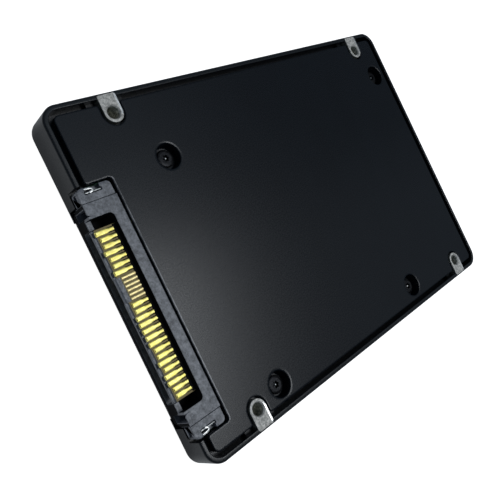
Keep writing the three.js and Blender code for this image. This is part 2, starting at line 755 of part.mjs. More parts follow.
// ---- Label --------------------------------------------------------------------------------------------

const labelOutline = roundedRectangle(
  [-LABEL.halfLength, LABEL.halfLength],
  [-LABEL.halfWidth, LABEL.halfWidth],
  LABEL.radius,
);
addPiece('blank_label', prism(labelOutline, [LABEL.recess - LABEL.thick, LABEL.recess]), LABEL_PAPER);

export default drive;
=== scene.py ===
"""The looks of a 2.5-inch solid state drive with a U.2 plug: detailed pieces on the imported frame, their
materials, a pale floor, soft studio light and a camera above the plug end.

X runs from the plug to the far end, and +Z out of the face with the lid. Lengths are in millimetres until
a piece is placed. In the plug, u is a distance in from the drive's end, and v one from its centre line."""

import json
from math import copysign, cos, pi, radians, sin, tan

import bmesh
import bpy
from mathutils import Matrix, Vector


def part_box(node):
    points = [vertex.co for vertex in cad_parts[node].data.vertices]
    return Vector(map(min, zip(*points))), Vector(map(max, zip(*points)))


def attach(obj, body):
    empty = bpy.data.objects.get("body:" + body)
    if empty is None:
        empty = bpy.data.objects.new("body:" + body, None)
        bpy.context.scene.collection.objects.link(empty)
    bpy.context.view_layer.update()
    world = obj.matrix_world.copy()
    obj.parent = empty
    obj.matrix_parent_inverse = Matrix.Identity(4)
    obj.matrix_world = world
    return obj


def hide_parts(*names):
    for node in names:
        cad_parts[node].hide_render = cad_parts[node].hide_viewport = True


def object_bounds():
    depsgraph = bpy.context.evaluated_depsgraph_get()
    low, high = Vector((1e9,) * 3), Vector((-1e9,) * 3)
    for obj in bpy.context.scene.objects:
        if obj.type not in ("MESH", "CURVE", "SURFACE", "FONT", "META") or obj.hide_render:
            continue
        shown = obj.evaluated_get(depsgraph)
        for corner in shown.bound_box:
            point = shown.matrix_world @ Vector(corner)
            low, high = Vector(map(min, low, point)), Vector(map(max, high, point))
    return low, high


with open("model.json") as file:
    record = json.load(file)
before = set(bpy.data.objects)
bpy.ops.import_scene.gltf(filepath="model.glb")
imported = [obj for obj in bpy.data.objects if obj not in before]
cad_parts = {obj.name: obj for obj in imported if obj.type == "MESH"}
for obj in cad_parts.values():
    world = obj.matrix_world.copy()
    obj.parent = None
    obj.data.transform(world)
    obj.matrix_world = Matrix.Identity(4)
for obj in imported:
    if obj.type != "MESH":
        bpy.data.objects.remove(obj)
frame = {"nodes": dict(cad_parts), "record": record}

MM = 0.001


def in_mm(corners):
    return [Vector(corner) / MM for corner in corners]


CAD_BOX = [list(corner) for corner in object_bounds()]
CASE_LOW, CASE_HIGH = in_mm(CAD_BOX)
LID_LOW, LID_HIGH = in_mm(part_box("cover_lid"))
PLUG_LOW, PLUG_HIGH = in_mm(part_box("connector_housing"))
SIDE = CASE_HIGH.y
TOP = CASE_HIGH.z
PLUG_END = CASE_LOW.x
PLUG_Y = (PLUG_LOW.y + PLUG_HIGH.y) / 2
EAR_HALF = (PLUG_HIGH.y - PLUG_LOW.y) / 2

# ---- Sizes, in millimetres ----

OVERLAP = 0.1
SLACK = 0.02
COARSE_WELD = 0.01
FINE_WELD = 0.0005

# The tub: its skin, the rim round the lid, the gutter inside it and the ledge under the lid's skirt. An EDGE
# of several pairs is (radius, tilt) arcs for crown().
CASE_CORNER = 3.5
CASE_FOOT = 3.2
CASE_LOWER_EDGE = 0.8
RIM = 1
RIM_EDGE = ((0.42, 8), (4.4, 1), (0.14, -90))
RIM_DROP = 0.02
GUTTER = 1.85
GUTTER_Z = 4.2
LEDGE_Z = 5.3
WALL = 2.6
WELL_CORNER = 1.65
FLOOR = 1.2
POST_RADIUS = 2.6
POST_TOP = 2.9
SCREW_WAY_Z = (1.3, 3.5)
BOSS_HALF = 4
BOSS_REACH = 7
LABEL_CORNER = 2
LABEL_RECESS = 0.3
LABEL_GAP = 0.25
LABEL_EDGE = 0.03

# The end wall's opening for the plug.
PLUG_WALL = 3.3
PLUG_GAP = 0.3
FLOOR_UNDER_PLUG = 0.95
PLUG_LIP = 0.5
PLUG_LIP_HALF = 19.7

# The mounting holes and the bare pads round them. THREAD_FLAT is the crest's share of the pitch.
HOLE_FROM_SIDE = 4.07
HOLE_RADIUS = 1.25
HOLE_CHAMFER = 0.25
HOLE_FLOOR_Z = 3
SIDE_HOLE_Z = 4
SIDE_HOLE_DEPTH = 4.2
THREAD_PITCH = 0.5
THREAD_DEPTH = 0.16
THREAD_FLAT = 0.1
PAD_HALF = 2
PAD_START = 0.34
PAD_CORNER = 0.4
PAD_EDGE = 0.07
PAD_LIP = 0.4
PAD_LIFT = 0.05
PAD_SEAT_Z = 6.2
PAD_SEAT_OVERLAP = 0.01

# The lid. A dimple is a rounded lip, then a cup down to the screw's seat.
LID_CORNER = 1.2
LID_EDGE = ((0.2, 10), (1.5, 3), (0.75, 0))
LID_SKIRT_LIFT = 0.1
LID_SHEET = 0.7
LID_MOUTH_CORNER = 0.6
LID_PAD_GAP = 0.4
PLUG_CUT_DEPTH = 7.6
PLUG_CUT_HALF = 24.45
PLUG_CUT_CORNER = 0.7
# The band on the lid's top edge along the plug cut where a lighter grey is painted, a painted highlight: its
# span in from the cut, and its depth down from the lid's top.
HIGHLIGHT_BAND = (0.02, 0.36)
HIGHLIGHT_DEPTH = 0.2
DIMPLE_LIP = 3.2
DIMPLE_EDGE = ((0.18, 13), (1.9, 0))
DIMPLE_FROM_SIDE = 0.44
DIMPLE_WALL = 1
DIMPLE_FLOOR = 2.35
DIMPLE_CORNER = 0.2
DIMPLE_POINTS = 64

# The screws. The pin's dome is given as (radius, depth below the head).
SCREW_SEAT_Z = 4.55
SCREW_HEAD = 1.85
SCREW_HEAD_TOP = SCREW_SEAT_Z + 0.9
SCREW_HEAD_SIDE = 0.78
SCREW_HEAD_SLOPE = 0.55
RECESS = 0.62
RECESS_LOBE = 0.11
SCREW_LAND = 0.15
RECESS_DEPTH = 0.6
RECESS_EDGE = 0.06
RECESS_FLOOR = 0.65
RECESS_TAPER = 0.1
SCREW_POINTS = 72
SCREW_SHANK = 1
SCREW_TIP = 0.5
TIP_TAPER = 0.3
PIN = 0.22
PIN_DEPTH = 0.2
PIN_DOME = ((0.18, 0.14), (0.1, 0.1))
PIN_POINTS = 24

# The plug's body and its cavity.
PLUG_FRONT = 0.1
PLUG_REAR = 7.3
PLUG_HALF = 21.4
PLUG_EDGE = 0.09
PLUG_CHAMFER = (0.8, 2)
CAVITY_REAR = 5
CAVITY_CORNER = 0.9
CAVITY_HALF = 18.6
CAVITY_FLOOR = 2.1
BLOCK_TOP = 4.5
BLOCK_INNER = 16.9
BLOCK_DEPTH = 1.2
BAY_REAR = 4.8
GUIDE_SLOT = (19.1, 20.6)
GUIDE_SLOT_Z = (2.3, 6.1)
GUIDE_SLOT_REAR = 5
GUIDE_ROOF_CORNER = 0.7

# The plug's ears and the board locks in them.
JOINT_GAP = 0.06
EAR_REAR = 7.1
EAR_BOTTOM = 3.9
EAR_CORNER = 0.9
EAR_SLOT = (21.5, 23.4)
EAR_SLOT_Z = (4.5, 5.4)
LOCK_STRIP = 0.25
LOCK_STRIP_BOTTOM = 4
LOCK_GAP = 0.17
LOCK_EDGE = 0.05
LOCK_LEG = (1, 0.1)
LOCK_LEG_TOP = 4.4
LOCK_TAB = 0.4
LOCK_TAB_Z = (5.6, 6.3)
LOCK_TAB_PATH = [(2.6, 23.12), (3.05, 23.2), (3.3, 23.4), (3.3, 23.65), (3, 23.86), (1.7, 23.94)]
LOCK_POCKET = (1.65, 4.8)
LOCK_POCKET_FLOOR = 5.3

# The tongue. Between the signal and power contacts it has a longer key, for the narrow contacts.
TONGUE_HALF = 16.7
TONGUE_TOP = 5.2
TONGUE_BOTTOM = 4.2
TONGUE_ROOT = CAVITY_REAR + 0.5
TONGUE_NOSE = 0.2
TONGUE_EDGE = 0.06
TONGUE_LEDGE = 4.92
TONGUE_STEP = 0.42
TONGUE_FACE = TONGUE_STEP + 0.1
KEY_CENTRE = 5.08
KEY_HALF = 2.35
KEY_TIP = 0.12
KEY_NOSE = 0.3
NOTCH_HALF = 0.5
NOTCH_DEPTH = 0.3
GROOVE_START = 2.6
GROOVE_WIDTH = 0.96
GROOVE_DEPTH = 0.3
HEEL = 4.3
HEEL_REAR = CAVITY_REAR + 0.4
HEEL_RISE = 0.2
HEEL_FOOT = 0.5

# The contacts. The crown is (share of the half width, drop). The frame's own blades are a little narrower.
BLADE_THICK = 0.15
BLADE_CORNER = 0.1
BLADE_CROWN = ((0, 0.05), (0.2, 0.025), (0.5, 0.008), (0.8, 0))
WIDE_PITCH = 1.27
WIDE_IN_FRAME = 0.84
WIDE_BLADE = 0.92
WIDE_REAR = 0.63
WIDE_NARROWS = 2.7
WIDE_TAPER = 0.6
FINE_PITCH = 0.8
FINE_IN_FRAME = 0.42
FINE_BLADE = 0.5
FOOT_REACH = 8.75
DROP_SUNK = 0.06
UPPER_DROP = 0.75
LOWER_DROP = 0.2
LONG_TIP = 0.35
SHORT_TIP = 0.8
SIDEBAND_TIP = 1.2
LANE_TIP = 0.5
SIGNAL_LONG = (0, 3, 6)
POWER_LONG = (2, 3, 4, 5, 6, 9, 11, 12)


# ---- Outlines ----

def rounded(corners, closed=True, steps=8):
    """The path through (x, y, radius) corners, each turned on an arc of its radius."""
    points = []
    count = len(corners)
    for i, (x, y, radius) in enumerate(corners):
        corner = Vector((x, y))
        if radius == 0 or (not closed and i in (0, count - 1)):
            points.append(corner)
            continue
        back = (Vector(corners[i - 1][:2]) - corner).normalized()
        ahead = (Vector(corners[(i + 1) % count][:2]) - corner).normalized()
        half = back.angle(ahead) / 2
        centre = corner + (back + ahead).normalized() * radius / sin(half)
        arm = corner + back * radius / tan(half) - centre
        turn = copysign(pi - 2 * half, -back.cross(ahead))
        points += [centre + Matrix.Rotation(turn * s / steps, 2) @ arm for s in range(steps + 1)]
    return without_repeats(points)


def without_repeats(points):
    least = 1e-5
    return [point for point, before in zip(points, points[-1:] + points) if (point - before).length > least]


def rectangle(x0, x1, y0, y1, radius, steps=8):
    corners = [(x0, y0, radius), (x1, y0, radius), (x1, y1, radius), (x0, y1, radius)]
    return rounded(corners, steps=steps)


def crown(arcs, steps=5):
    """The (inwards, up) points of an edge that starts upright at (0, 0) and turns along (radius, tilt) arcs.

    A tilt is how far from upwards, in degrees, the surface faces outwards where its arc ends."""
    points = [Vector((0, 0))]
    tilt = 90
    for radius, end in arcs:
        centre = points[-1] - radius * Vector((-sin(radians(tilt)), cos(radians(tilt))))
        for s in range(1, steps + 1):
            lean = radians(tilt + (end - tilt) * s / steps)
            points.append(centre + radius * Vector((-sin(lean), cos(lean))))
        tilt = end
    return points


def circle(centre, radius, count=48):
    return [Vector((centre[0] + radius * cos(a), centre[1] + radius * sin(a)))
            for a in (2 * pi * i / count for i in range(count))]


def inset(outline, distance):
    """A counter-clockwise outline moved inwards."""
    moved = []
    for before, point, after in zip(outline[-1:] + outline, outline, outline[1:] + outline[:1]):
        one = (point - before).normalized()
        other = (after - point).normalized()
        normals = [Vector((-way.y, way.x)) for way in (one, other)]
        mitre = (normals[0] + normals[1]).normalized()
        moved.append(point + mitre * distance / mitre.dot(normals[0]))
    return moved


# ---- Meshes ----

class Skin:
    """A mesh built from rings of points and the flat faces that close them."""

    def __init__(self):
        self.mesh = bmesh.new()

    def ring(self, outline, z):
        return [self.mesh.verts.new((x, y, z)) for x, y in outline]

    def join(self, rings):
        """Side faces from each ring to the next. Each ring has the same number of points."""
        for lower, upper in zip(rings, rings[1:]):
            for i, corner in enumerate(lower):
                self.mesh.faces.new((lower[i - 1], corner, upper[i], upper[i - 1]))
        return rings

    def stack(self, levels):
        """Joined rings at (outline, z) levels."""
        return self.join([self.ring(outline, z) for outline, z in levels])

    def cap(self, *rings):
        """A flat face inside the first ring, with the others as holes in it."""
        if len(rings) == 1:
            self.mesh.faces.new(rings[0])
            return
        edges = [self.mesh.edges.get((ring[i - 1], ring[i])) for ring in rings for i in range(len(ring))]
        bmesh.ops.triangle_fill(self.mesh, use_beauty=True, use_dissolve=False, edges=edges)

    def close(self, rings):
        """Flat faces in the first and last of joined rings."""
        self.cap(rings[0])
        self.cap(rings[-1])

    def block(self, xs, ys, zs):
        """A separate box."""
        middle = [sum(pair) / 2 for pair in (xs, ys, zs)]
        size = [pair[1] - pair[0] for pair in (xs, ys, zs)]
        matrix = Matrix.Translation(middle) @ Matrix.Diagonal((*size, 1))
        bmesh.ops.create_cube(self.mesh, size=1, matrix=matrix)

    def place(self, name, open_sheet=False):
        """The finished object, in metres, facing outwards."""
        bmesh.ops.recalc_face_normals(self.mesh, faces=self.mesh.faces[:])
        if open_sheet and sum(face.normal.z * face.calc_area() for face in self.mesh.faces) < 0:
            bmesh.ops.reverse_faces(self.mesh, faces=self.mesh.faces[:])
        bmesh.ops.scale(self.mesh, vec=(MM, MM, MM), verts=self.mesh.verts[:])
        data = bpy.data.meshes.new(name)
        self.mesh.to_mesh(data)
        self.mesh.free()
        piece = bpy.data.objects.new(name, data)
        bpy.context.scene.collection.objects.link(piece)
        return piece


def block_piece(name, xs, ys, zs):
    skin = Skin()
    skin.block(xs, ys, zs)
    return skin.place(name)


def stacked_piece(name, levels):
    skin = Skin()
    skin.close(skin.stack(levels))
    return skin.place(name)


def prism_piece(name, outline, z0, z1):
    return stacked_piece(name, [(outline, z0), (outline, z1)])


def settle(piece):
    """Applies a piece's modifiers."""
    evaluated = piece.evaluated_get(bpy.context.evaluated_depsgraph_get())
    finished = bpy.data.meshes.new_from_object(evaluated)
    piece.modifiers.clear()
    piece.data = finished


def carve(piece, tools, operation="DIFFERENCE"):
    """Cuts the tools out of a piece, or joins them to it, and removes them."""
    for tool in tools:
        modifier = piece.modifiers.new("carve", "BOOLEAN")
        modifier.object = tool
        modifier.operation = operation
        modifier.solver = "EXACT"
    settle(piece)
    for tool in tools:
        bpy.data.objects.remove(tool)


def weld(piece, distance):
    """Joins a piece's coincident points, given in millimetres, and drops the faces they leave empty."""
    mesh = bmesh.new()
    mesh.from_mesh(piece.data)
    bmesh.ops.remove_doubles(mesh, verts=mesh.verts[:], dist=distance * MM)
    bmesh.ops.dissolve_degenerate(mesh, edges=mesh.edges[:], dist=distance * MM)
    mesh.to_mesh(piece.data)
    mesh.free()


def round_edges(piece, width):
    """Rounds a piece's sharp edges by a width in millimetres."""
    sharp_above = 35
    weld(piece, COARSE_WELD)
    bevel = piece.modifiers.new("edges", "BEVEL")
    bevel.width = width * MM
    bevel.segments = 2
    bevel.limit_method = "ANGLE"
    bevel.angle_limit = radians(sharp_above)
    bevel.use_clamp_overlap = False
    settle(piece)
    weld(piece, FINE_WELD)


def soften(piece):
    """Shades a piece smoothly, except across its sharp edges."""
    sharp_above = 40
    for face in piece.data.polygons:
        face.use_smooth = True
    piece.data.set_sharp_from_angle(angle=radians(sharp_above))
    weighted = piece.modifiers.new("normals", "WEIGHTED_NORMAL")
    weighted.keep_sharp = True
    weighted.weight = 90


def dress(piece, material, slot, *nodes):
    """Gives a piece its material and its place in the frame."""
    piece.data.materials.clear()
    piece.data.materials.append(material)
    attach(piece, "root")
    if nodes:
        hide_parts(*nodes)


def paint(piece, material, chosen):
    """Gives a further material to the faces that chosen(face, centre in millimetres) picks."""
    piece.data.materials.append(material)
    index = len(piece.data.materials) - 1
    for face in piece.data.polygons:
        if chosen(face, face.center / MM):
            face.material_index = index


# ---- Materials ----

class Finish:
    """A procedural material: one principled shader, fed by noise measured in millimetres."""

    def __init__(self, name, **settings):
        self.material = bpy.data.materials.new(name)
        self.material.use_nodes = True
        self.nodes = self.material.node_tree.nodes
        self.links = self.material.node_tree.links
        self.shader = self.nodes["Principled BSDF"]
        for socket, value in settings.items():
            self.shader.inputs[socket.replace("_", " ")].default_value = value
        self.place = self.nodes.new("ShaderNodeTexCoord").outputs["Object"]

    def texture(self, kind, size, stretch=(1, 1, 1)):
        """A texture node whose grains are about `size` millimetres across."""
        mapping = self.nodes.new("ShaderNodeMapping")
        mapping.inputs["Scale"].default_value = [way / (size * MM) for way in stretch]
        texture = self.nodes.new(kind)
        self.links.new(self.place, mapping.inputs["Vector"])
        self.links.new(mapping.outputs["Vector"], texture.inputs["Vector"])
        return texture

    def noise(self, size, detail=2.0, stretch=(1, 1, 1), roughness=0.5):
        texture = self.texture("ShaderNodeTexNoise", size, stretch)
        texture.inputs["Scale"].default_value = 1
        texture.inputs["Detail"].default_value = detail
        texture.inputs["Roughness"].default_value = roughness
        return texture.outputs["Fac"]

    def cells(self, size):
        texture = self.texture("ShaderNodeTexVoronoi", size)
        texture.feature = "SMOOTH_F1"
        return texture.outputs["Distance"]

    def spread(self, factor, low, high, start=0.35, end=0.65):
        """A factor turned into numbers between low and high."""
        node = self.nodes.new("ShaderNodeMapRange")
        values = {"From Min": start, "From Max": end, "To Min": low, "To Max": high}
        for socket, value in values.items():
            node.inputs[socket].default_value = value
        self.links.new(factor, node.inputs["Value"])
        return node.outputs["Result"]

    def mix(self, factor, low, high, start=0.35, end=0.65):
        """A factor turned into colours between low and high."""
        node = self.nodes.new("ShaderNodeMix")
        node.data_type = "RGBA"
        self.links.new(self.spread(factor, 0, 1, start, end), node.inputs["Factor"])
        for socket, colour in (("A", low), ("B", high)):
            entry = next(i for i in node.inputs if i.name == socket and i.type == "RGBA")
            entry.default_value = (*colour, 1)
        return next(o for o in node.outputs if o.type == "RGBA")

    def feed(self, socket, output):
        self.links.new(output, self.shader.inputs[socket])

    def bump(self, *layers):
        """Relief from (height output, depth in millimetres) layers."""
        last = None
        for height, depth in layers:
            node = self.nodes.new("ShaderNodeBump")
            node.inputs["Distance"].default_value = depth * MM
            self.links.new(height, node.inputs["Height"])
            if last:
                self.links.new(last, node.inputs["Normal"])
            last = node.outputs["Normal"]
        self.links.new(last, self.shader.inputs["Normal"])


def powder_coat(name, dark, light, rough, grain, ior=1.42):
    """Satin black powder coat: fine pimples over a faint orange peel."""
    finish = Finish(name, IOR=ior)
    patch = finish.noise(9, detail=3)
    pimple = finish.noise(grain, detail=3, roughness=0.6)
    finish.feed("Base Color", finish.mix(patch, dark, light))
    finish.feed("Roughness", finish.spread(pimple, *rough))
    finish.bump((finish.noise(1.1, detail=1), 0.002), (pimple, 0.004))
    return finish.material


def speckled(name, dark, light, rough, grain=0.2, detail=4, relief=0.01, stretch=(1, 1, 1), **settings):
    """A surface whose colour, dullness and relief follow one fine noise."""
    finish = Finish(name, **settings)
    speck = finish.noise(grain, detail, stretch)
    finish.feed("Base Color", finish.mix(speck, dark, light))
    finish.feed("Roughness", finish.spread(speck, *rough))
    finish.bump((speck, relief))
    return finish.material


def bare_metal(name, dark, light, rough, relief=0.015):
    """Die-cast aluminium with its coat cut away."""
    finish = Finish(name, Metallic=0.8)
    swirl = finish.noise(0.35, detail=4, stretch=(1, 0.25, 1))
    stain = finish.noise(0.55, detail=4, roughness=0.7)
    finish.feed("Base Color", finish.mix(stain, dark, light))
    finish.feed("Roughness", finish.spread(swirl, *rough))
    finish.bump((swirl, relief), (stain, relief), (finish.noise(0.12, detail=2), 0.006))
    return finish.material


def glass_filled_plastic():
    """Black liquid-crystal polymer, clouded by its glass fibre."""
    finish = Finish("glass_filled_plastic", IOR=2.5)
    cloud = finish.noise(0.75, detail=4, roughness=0.75)
    fibre = finish.noise(0.22, detail=3, stretch=(1, 0.45, 1))
    finish.feed("Base Color", finish.mix(cloud, (0.02, 0.026, 0.042), (0.17, 0.185, 0.23), 0.36, 0.66))
    finish.feed("Roughness", finish.spread(cloud, 0.66, 0.5))
    finish.bump((cloud, 0.05), (fibre, 0.012))
    return finish.material


def gold_plate(name, dark, light):
    """Gold over nickel, brushed across the blades."""
    finish = Finish(name, Metallic=1.0)
    wear = finish.noise(0.6, detail=3)
    finish.feed("Base Color", finish.mix(wear, dark, light))
    finish.feed("Roughness", finish.spread(finish.noise(0.2, stretch=(0.2, 1, 1)), 0.4, 0.5))
    finish.bump((wear, 0.004))
    return finish.material


def solder_mask():
    """Green mask over woven glass and buried copper."""
    finish = Finish("solder_mask", IOR=1.5)
    weave = finish.cells(0.8)
    copper = finish.noise(2.2, detail=1)
    finish.feed("Base Color", finish.mix(copper, (0.006, 0.05, 0.028), (0.015, 0.11, 0.06), 0.48, 0.52))
    finish.feed("Roughness", finish.spread(weave, 0.25, 0.4, 0, 1))
    finish.bump((weave, 0.01), (copper, 0.02))
    return finish.material


def moulded(name, dark, light, rough, grain=0.2):
    """A fine-grained moulded or pressed surface."""
    return speckled(name, dark, light, rough, grain, IOR=1.45)


def label_film():
    """Blank satin film over the case, faintly rippled where it was rolled on."""
    finish = Finish("label_film", IOR=1.48)
    ripple = finish.noise(14, detail=2, stretch=(1, 0.3, 1))
    fibre = finish.noise(0.3, detail=4)
    finish.feed("Base Color", finish.mix(fibre, (0.48, 0.49, 0.5), (0.56, 0.57, 0.58)))
    finish.feed("Roughness", finish.spread(fibre, 0.34, 0.48))
    finish.bump((ripple, 0.05), (fibre, 0.004))
    return finish.material


CASE_COAT = powder_coat("case_coat", (0.003, 0.0045, 0.007), (0.005, 0.007, 0.01), (0.25, 0.36), 0.3, 1.54)
LID_COAT = powder_coat("lid_coat", (0.003, 0.005, 0.009), (0.004, 0.0065, 0.011), (0.22, 0.32), 0.26)
# Lighter grey for the lid's top edge along the plug cut: a painted highlight.
PLUG_CUT_HIGHLIGHT = speckled("plug_cut_painted_highlight", (0.05, 0.052, 0.056), (0.2, 0.2, 0.21), (0.3, 0.42), grain=0.5,
                        detail=3, relief=0.006, stretch=(1, 0.4, 1), Metallic=0.6)
BARE_METAL = bare_metal("bare_metal", (0.5, 0.49, 0.46), (1.0, 0.97, 0.92), (0.62, 0.8))
# A lighter, smoother copy of the bare metal for the pads' +x lips only: the lighter colour is a painted
# highlight on the side where the key light glints.
PAD_LIP_HIGHLIGHT_METAL = bare_metal("pad_lip_painted_highlight", (0.85, 0.84, 0.82), (1.0, 0.98, 0.95), (0.2, 0.36), 0.004)
TAPPED_METAL = bare_metal("tapped_metal", (0.22, 0.22, 0.18), (0.8, 0.8, 0.72), (0.25, 0.5), 0.04)
BLACK_STEEL = speckled("black_steel", (0.008, 0.008, 0.01), (0.032, 0.033, 0.036), (0.28, 0.5), grain=0.25,
                       detail=3, Metallic=0.85)
PLUG_PLASTIC = glass_filled_plastic()
# Near-black plastic for the plug's faces that light hardly reaches: painted shade, darker than the moulding.
SHADE_PAINTED_PLASTIC = speckled("painted_shade_plastic", (0.003, 0.003, 0.004), (0.008, 0.008, 0.01), (0.6, 0.8), IOR=1.2)
# Light brown for the tongue's face between the blades: a painted reflection of the gold blades, lighter than
# the dark moulding.
TONGUE_REFLECTION_PAINT = moulded("tongue_painted_reflection", (0.3, 0.22, 0.09), (0.5, 0.38, 0.16), (0.5, 0.65))
GOLD = gold_plate("gold_plate", (0.96, 0.82, 0.2), (1.0, 0.9, 0.32))
THIN_GOLD = gold_plate("thin_gold_plate", (0.8, 0.64, 0.3), (0.95, 0.82, 0.42))
TIN = speckled("tin_plate", (0.7, 0.7, 0.68), (0.95, 0.95, 0.93), (0.35, 0.5), grain=0.3, detail=3,
               relief=0.015, Metallic=1.0)
SOLDER_MASK = solder_mask()
LABEL_FILM = label_film()

# ---- Case ----

PAD_MOUNTS = [m for m in frame["record"]["mounts"] if m["name"].startswith("bottom_screw_pad")]
HOLES = [(m["pos_m"][0] / MM, copysign(1, m["pos_m"][1])) for m in PAD_MOUNTS]
SCREW_NODES = [f"cover_screw_{i}" for i in range(1, 5)]
SCREW_CENTRES = [(sum(in_mm(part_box(node)), Vector()) / 2).xy for node in SCREW_NODES]
HOLE_Y = SIDE - HOLE_FROM_SIDE


def both(low, high, side):
    """A range of y on one side of the drive."""
    return sorted((side * low, side * high))


def plug_range(low, high):
    """A range of x measured in from the plug end."""
    return PLUG_END + low, PLUG_END + high


def plug_side(low, high, side=1):
    """A range of y measured from the plug's centre line."""
    return sorted((PLUG_Y + side * low, PLUG_Y + side * high))


def case_block():
    """The tub before it is hollowed: its outer skin, sloped rim, gutter and ledge."""
    outline = rectangle(CASE_LOW.x, CASE_HIGH.x, -SIDE, SIDE, CASE_CORNER, steps=14)
    foot = rounded([(CASE_FOOT, 0, 0), (0, 0, CASE_LOWER_EDGE), (0, LEDGE_Z / 2, 0)], closed=False, steps=6)
    rim = crown(RIM_EDGE)
    lift = TOP - RIM_DROP - max(point.y for point in rim)
    section = foot + [point + Vector((0, lift)) for point in rim]
    section += [Vector(point) for point in
                ((rim[-1].x, GUTTER_Z), (GUTTER, GUTTER_Z), (GUTTER, LEDGE_Z), (WALL, LEDGE_Z))]
    return stacked_piece("case", [(inset(outline, distance), z) for distance, z in section])


def bosses():
    return [block_piece("boss", (x - BOSS_HALF, x + BOSS_HALF), both(SIDE - BOSS_REACH, SIDE - RIM, side),
                        (FLOOR - OVERLAP, LEDGE_Z)) for x, side in HOLES]


def side_hole(x, side):
    """A cutter for a screw hole in the side wall, with its countersink."""
    beyond = 1
    wall = [
        (SIDE - SIDE_HOLE_DEPTH, HOLE_RADIUS),
        (SIDE - HOLE_CHAMFER, HOLE_RADIUS),
        (SIDE + beyond, HOLE_RADIUS + HOLE_CHAMFER + beyond),
    ]
    tool = stacked_piece("side_hole", [(circle((0, 0), radius), depth) for depth, radius in wall])
    turn = Matrix.Rotation(-side * pi / 2, 4, "X")
    tool.data.transform(Matrix.Translation((x * MM, 0, SIDE_HOLE_Z * MM)) @ turn)
    return tool


def case_openings():
    """Cutters for the plug's place in the end wall, the label's recess and the holes."""
    beyond = 2
    above = TOP + beyond
    low, high = in_mm(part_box("blank_label"))
    label = rectangle(low.x - LABEL_GAP, high.x + LABEL_GAP, low.y - LABEL_GAP, high.y + LABEL_GAP,
                      LABEL_CORNER + LABEL_GAP)
    ear_half = EAR_HALF + PLUG_GAP
    body_half = PLUG_HALF + PLUG_GAP
    seats = [inset(pad_outline(x, side), PAD_SEAT_OVERLAP) for x, side in HOLES]
    return [
        block_piece("ear_way", plug_range(-beyond, PLUG_WALL + 1), plug_side(-ear_half, ear_half),
                    (EAR_BOTTOM - PLUG_GAP, above)),
        block_piece("body_way", plug_range(-beyond, PLUG_REAR + PLUG_GAP), plug_side(-body_half, body_half),
                    (FLOOR_UNDER_PLUG, above)),
        block_piece("lip_way", plug_range(-beyond, PLUG_LIP),
                    plug_side(-PLUG_LIP_HALF, PLUG_LIP_HALF), (-beyond, above)),
        prism_piece("label_way", label, -beyond, LABEL_RECESS),
        *[prism_piece("pad_seat", seat, PAD_SEAT_Z, above) for seat in seats],
        *[threaded_hole(x, side) for x, side in HOLES],
        *[side_hole(x, side) for x, side in HOLES],
    ]


def faces_axis(offset, normal):
    """Whether a face, at an offset from a hole's axis, is on the hole's wall."""
    inner_slack, outer_slack, least_turn = 0.05, 0.01, 0.3
    near = HOLE_RADIUS - inner_slack < offset.length < HOLE_RADIUS + THREAD_DEPTH + outer_slack
    return near and -offset.dot(normal) > least_turn * offset.length


def in_drilled_hole(face, place):
    """Whether a face of the case is the wall of a screw hole, where the drill took the coat off."""
    x, y, z = place
    turn = face.normal
    return any(faces_axis(Vector((x - hole, y - side * HOLE_Y)), turn.xy)
               or faces_axis(Vector((x - hole, z - SIDE_HOLE_Z)), turn.xz) for hole, side in HOLES)


def make_case():
    """The tub: hollowed, given its bosses and posts, then opened for the plug, label, pads and holes."""
    case = case_block()
    well = rectangle(CASE_LOW.x + PLUG_WALL, CASE_HIGH.x - WALL, -SIDE + WALL, SIDE - WALL, WELL_CORNER)
    carve(case, [prism_piece("well", well, FLOOR, TOP + 1)])
    posts = [prism_piece("post", circle(centre, POST_RADIUS), FLOOR - OVERLAP, POST_TOP)
             for centre in SCREW_CENTRES]
    carve(case, bosses() + posts, "UNION")
    ways = [prism_piece("screw_way", circle(centre, SCREW_SHANK), *SCREW_WAY_Z) for centre in SCREW_CENTRES]
    carve(case, case_openings() + ways)
    soften(case)
    dress(case, CASE_COAT, "case_coat", "case_tub")
    paint(case, TAPPED_METAL, in_drilled_hole)


def threads(top, foot):
    """The (radius, z) section of an M3 thread, from the top down."""
    section = []
    z = top
    while z > foot:
        section += [
            (HOLE_RADIUS + THREAD_DEPTH, z - THREAD_PITCH / 2),
            (HOLE_RADIUS, z - (1 - THREAD_FLAT) * THREAD_PITCH),
            (HOLE_RADIUS, z - THREAD_PITCH),
        ]
        z -= THREAD_PITCH
    return section


def threaded_bore(top):
    """The (radius, z) section of a hole through a pad, from its chamfer down."""
    bore = [(HOLE_RADIUS + HOLE_CHAMFER, top), (HOLE_RADIUS + SLACK, top - HOLE_CHAMFER)]
    return bore + threads(top - HOLE_CHAMFER, LEDGE_Z)


def threaded_hole(x, side):
    """A cutter for the hole below a pad."""
    section = [(HOLE_RADIUS, TOP + 1), *threads(LEDGE_Z + THREAD_PITCH, HOLE_FLOOR_Z + THREAD_PITCH)]
    return stacked_piece("hole", [(circle((x, side * HOLE_Y), radius), z) for radius, z in section])


def pad_outline(x, side):
    """A pad from above: square at the drive's side and round at its inner end."""
    outer_y = SIDE - PAD_START
    corners = [
        (x - PAD_HALF, side * outer_y, PAD_CORNER),
        (x - PAD_HALF, side * (HOLE_Y - PAD_HALF), PAD_HALF),
        (x + PAD_HALF, side * (HOLE_Y - PAD_HALF), PAD_HALF),
        (x + PAD_HALF, side * outer_y, PAD_CORNER),
    ]
    return rounded(corners if side > 0 else corners[::-1], steps=12)


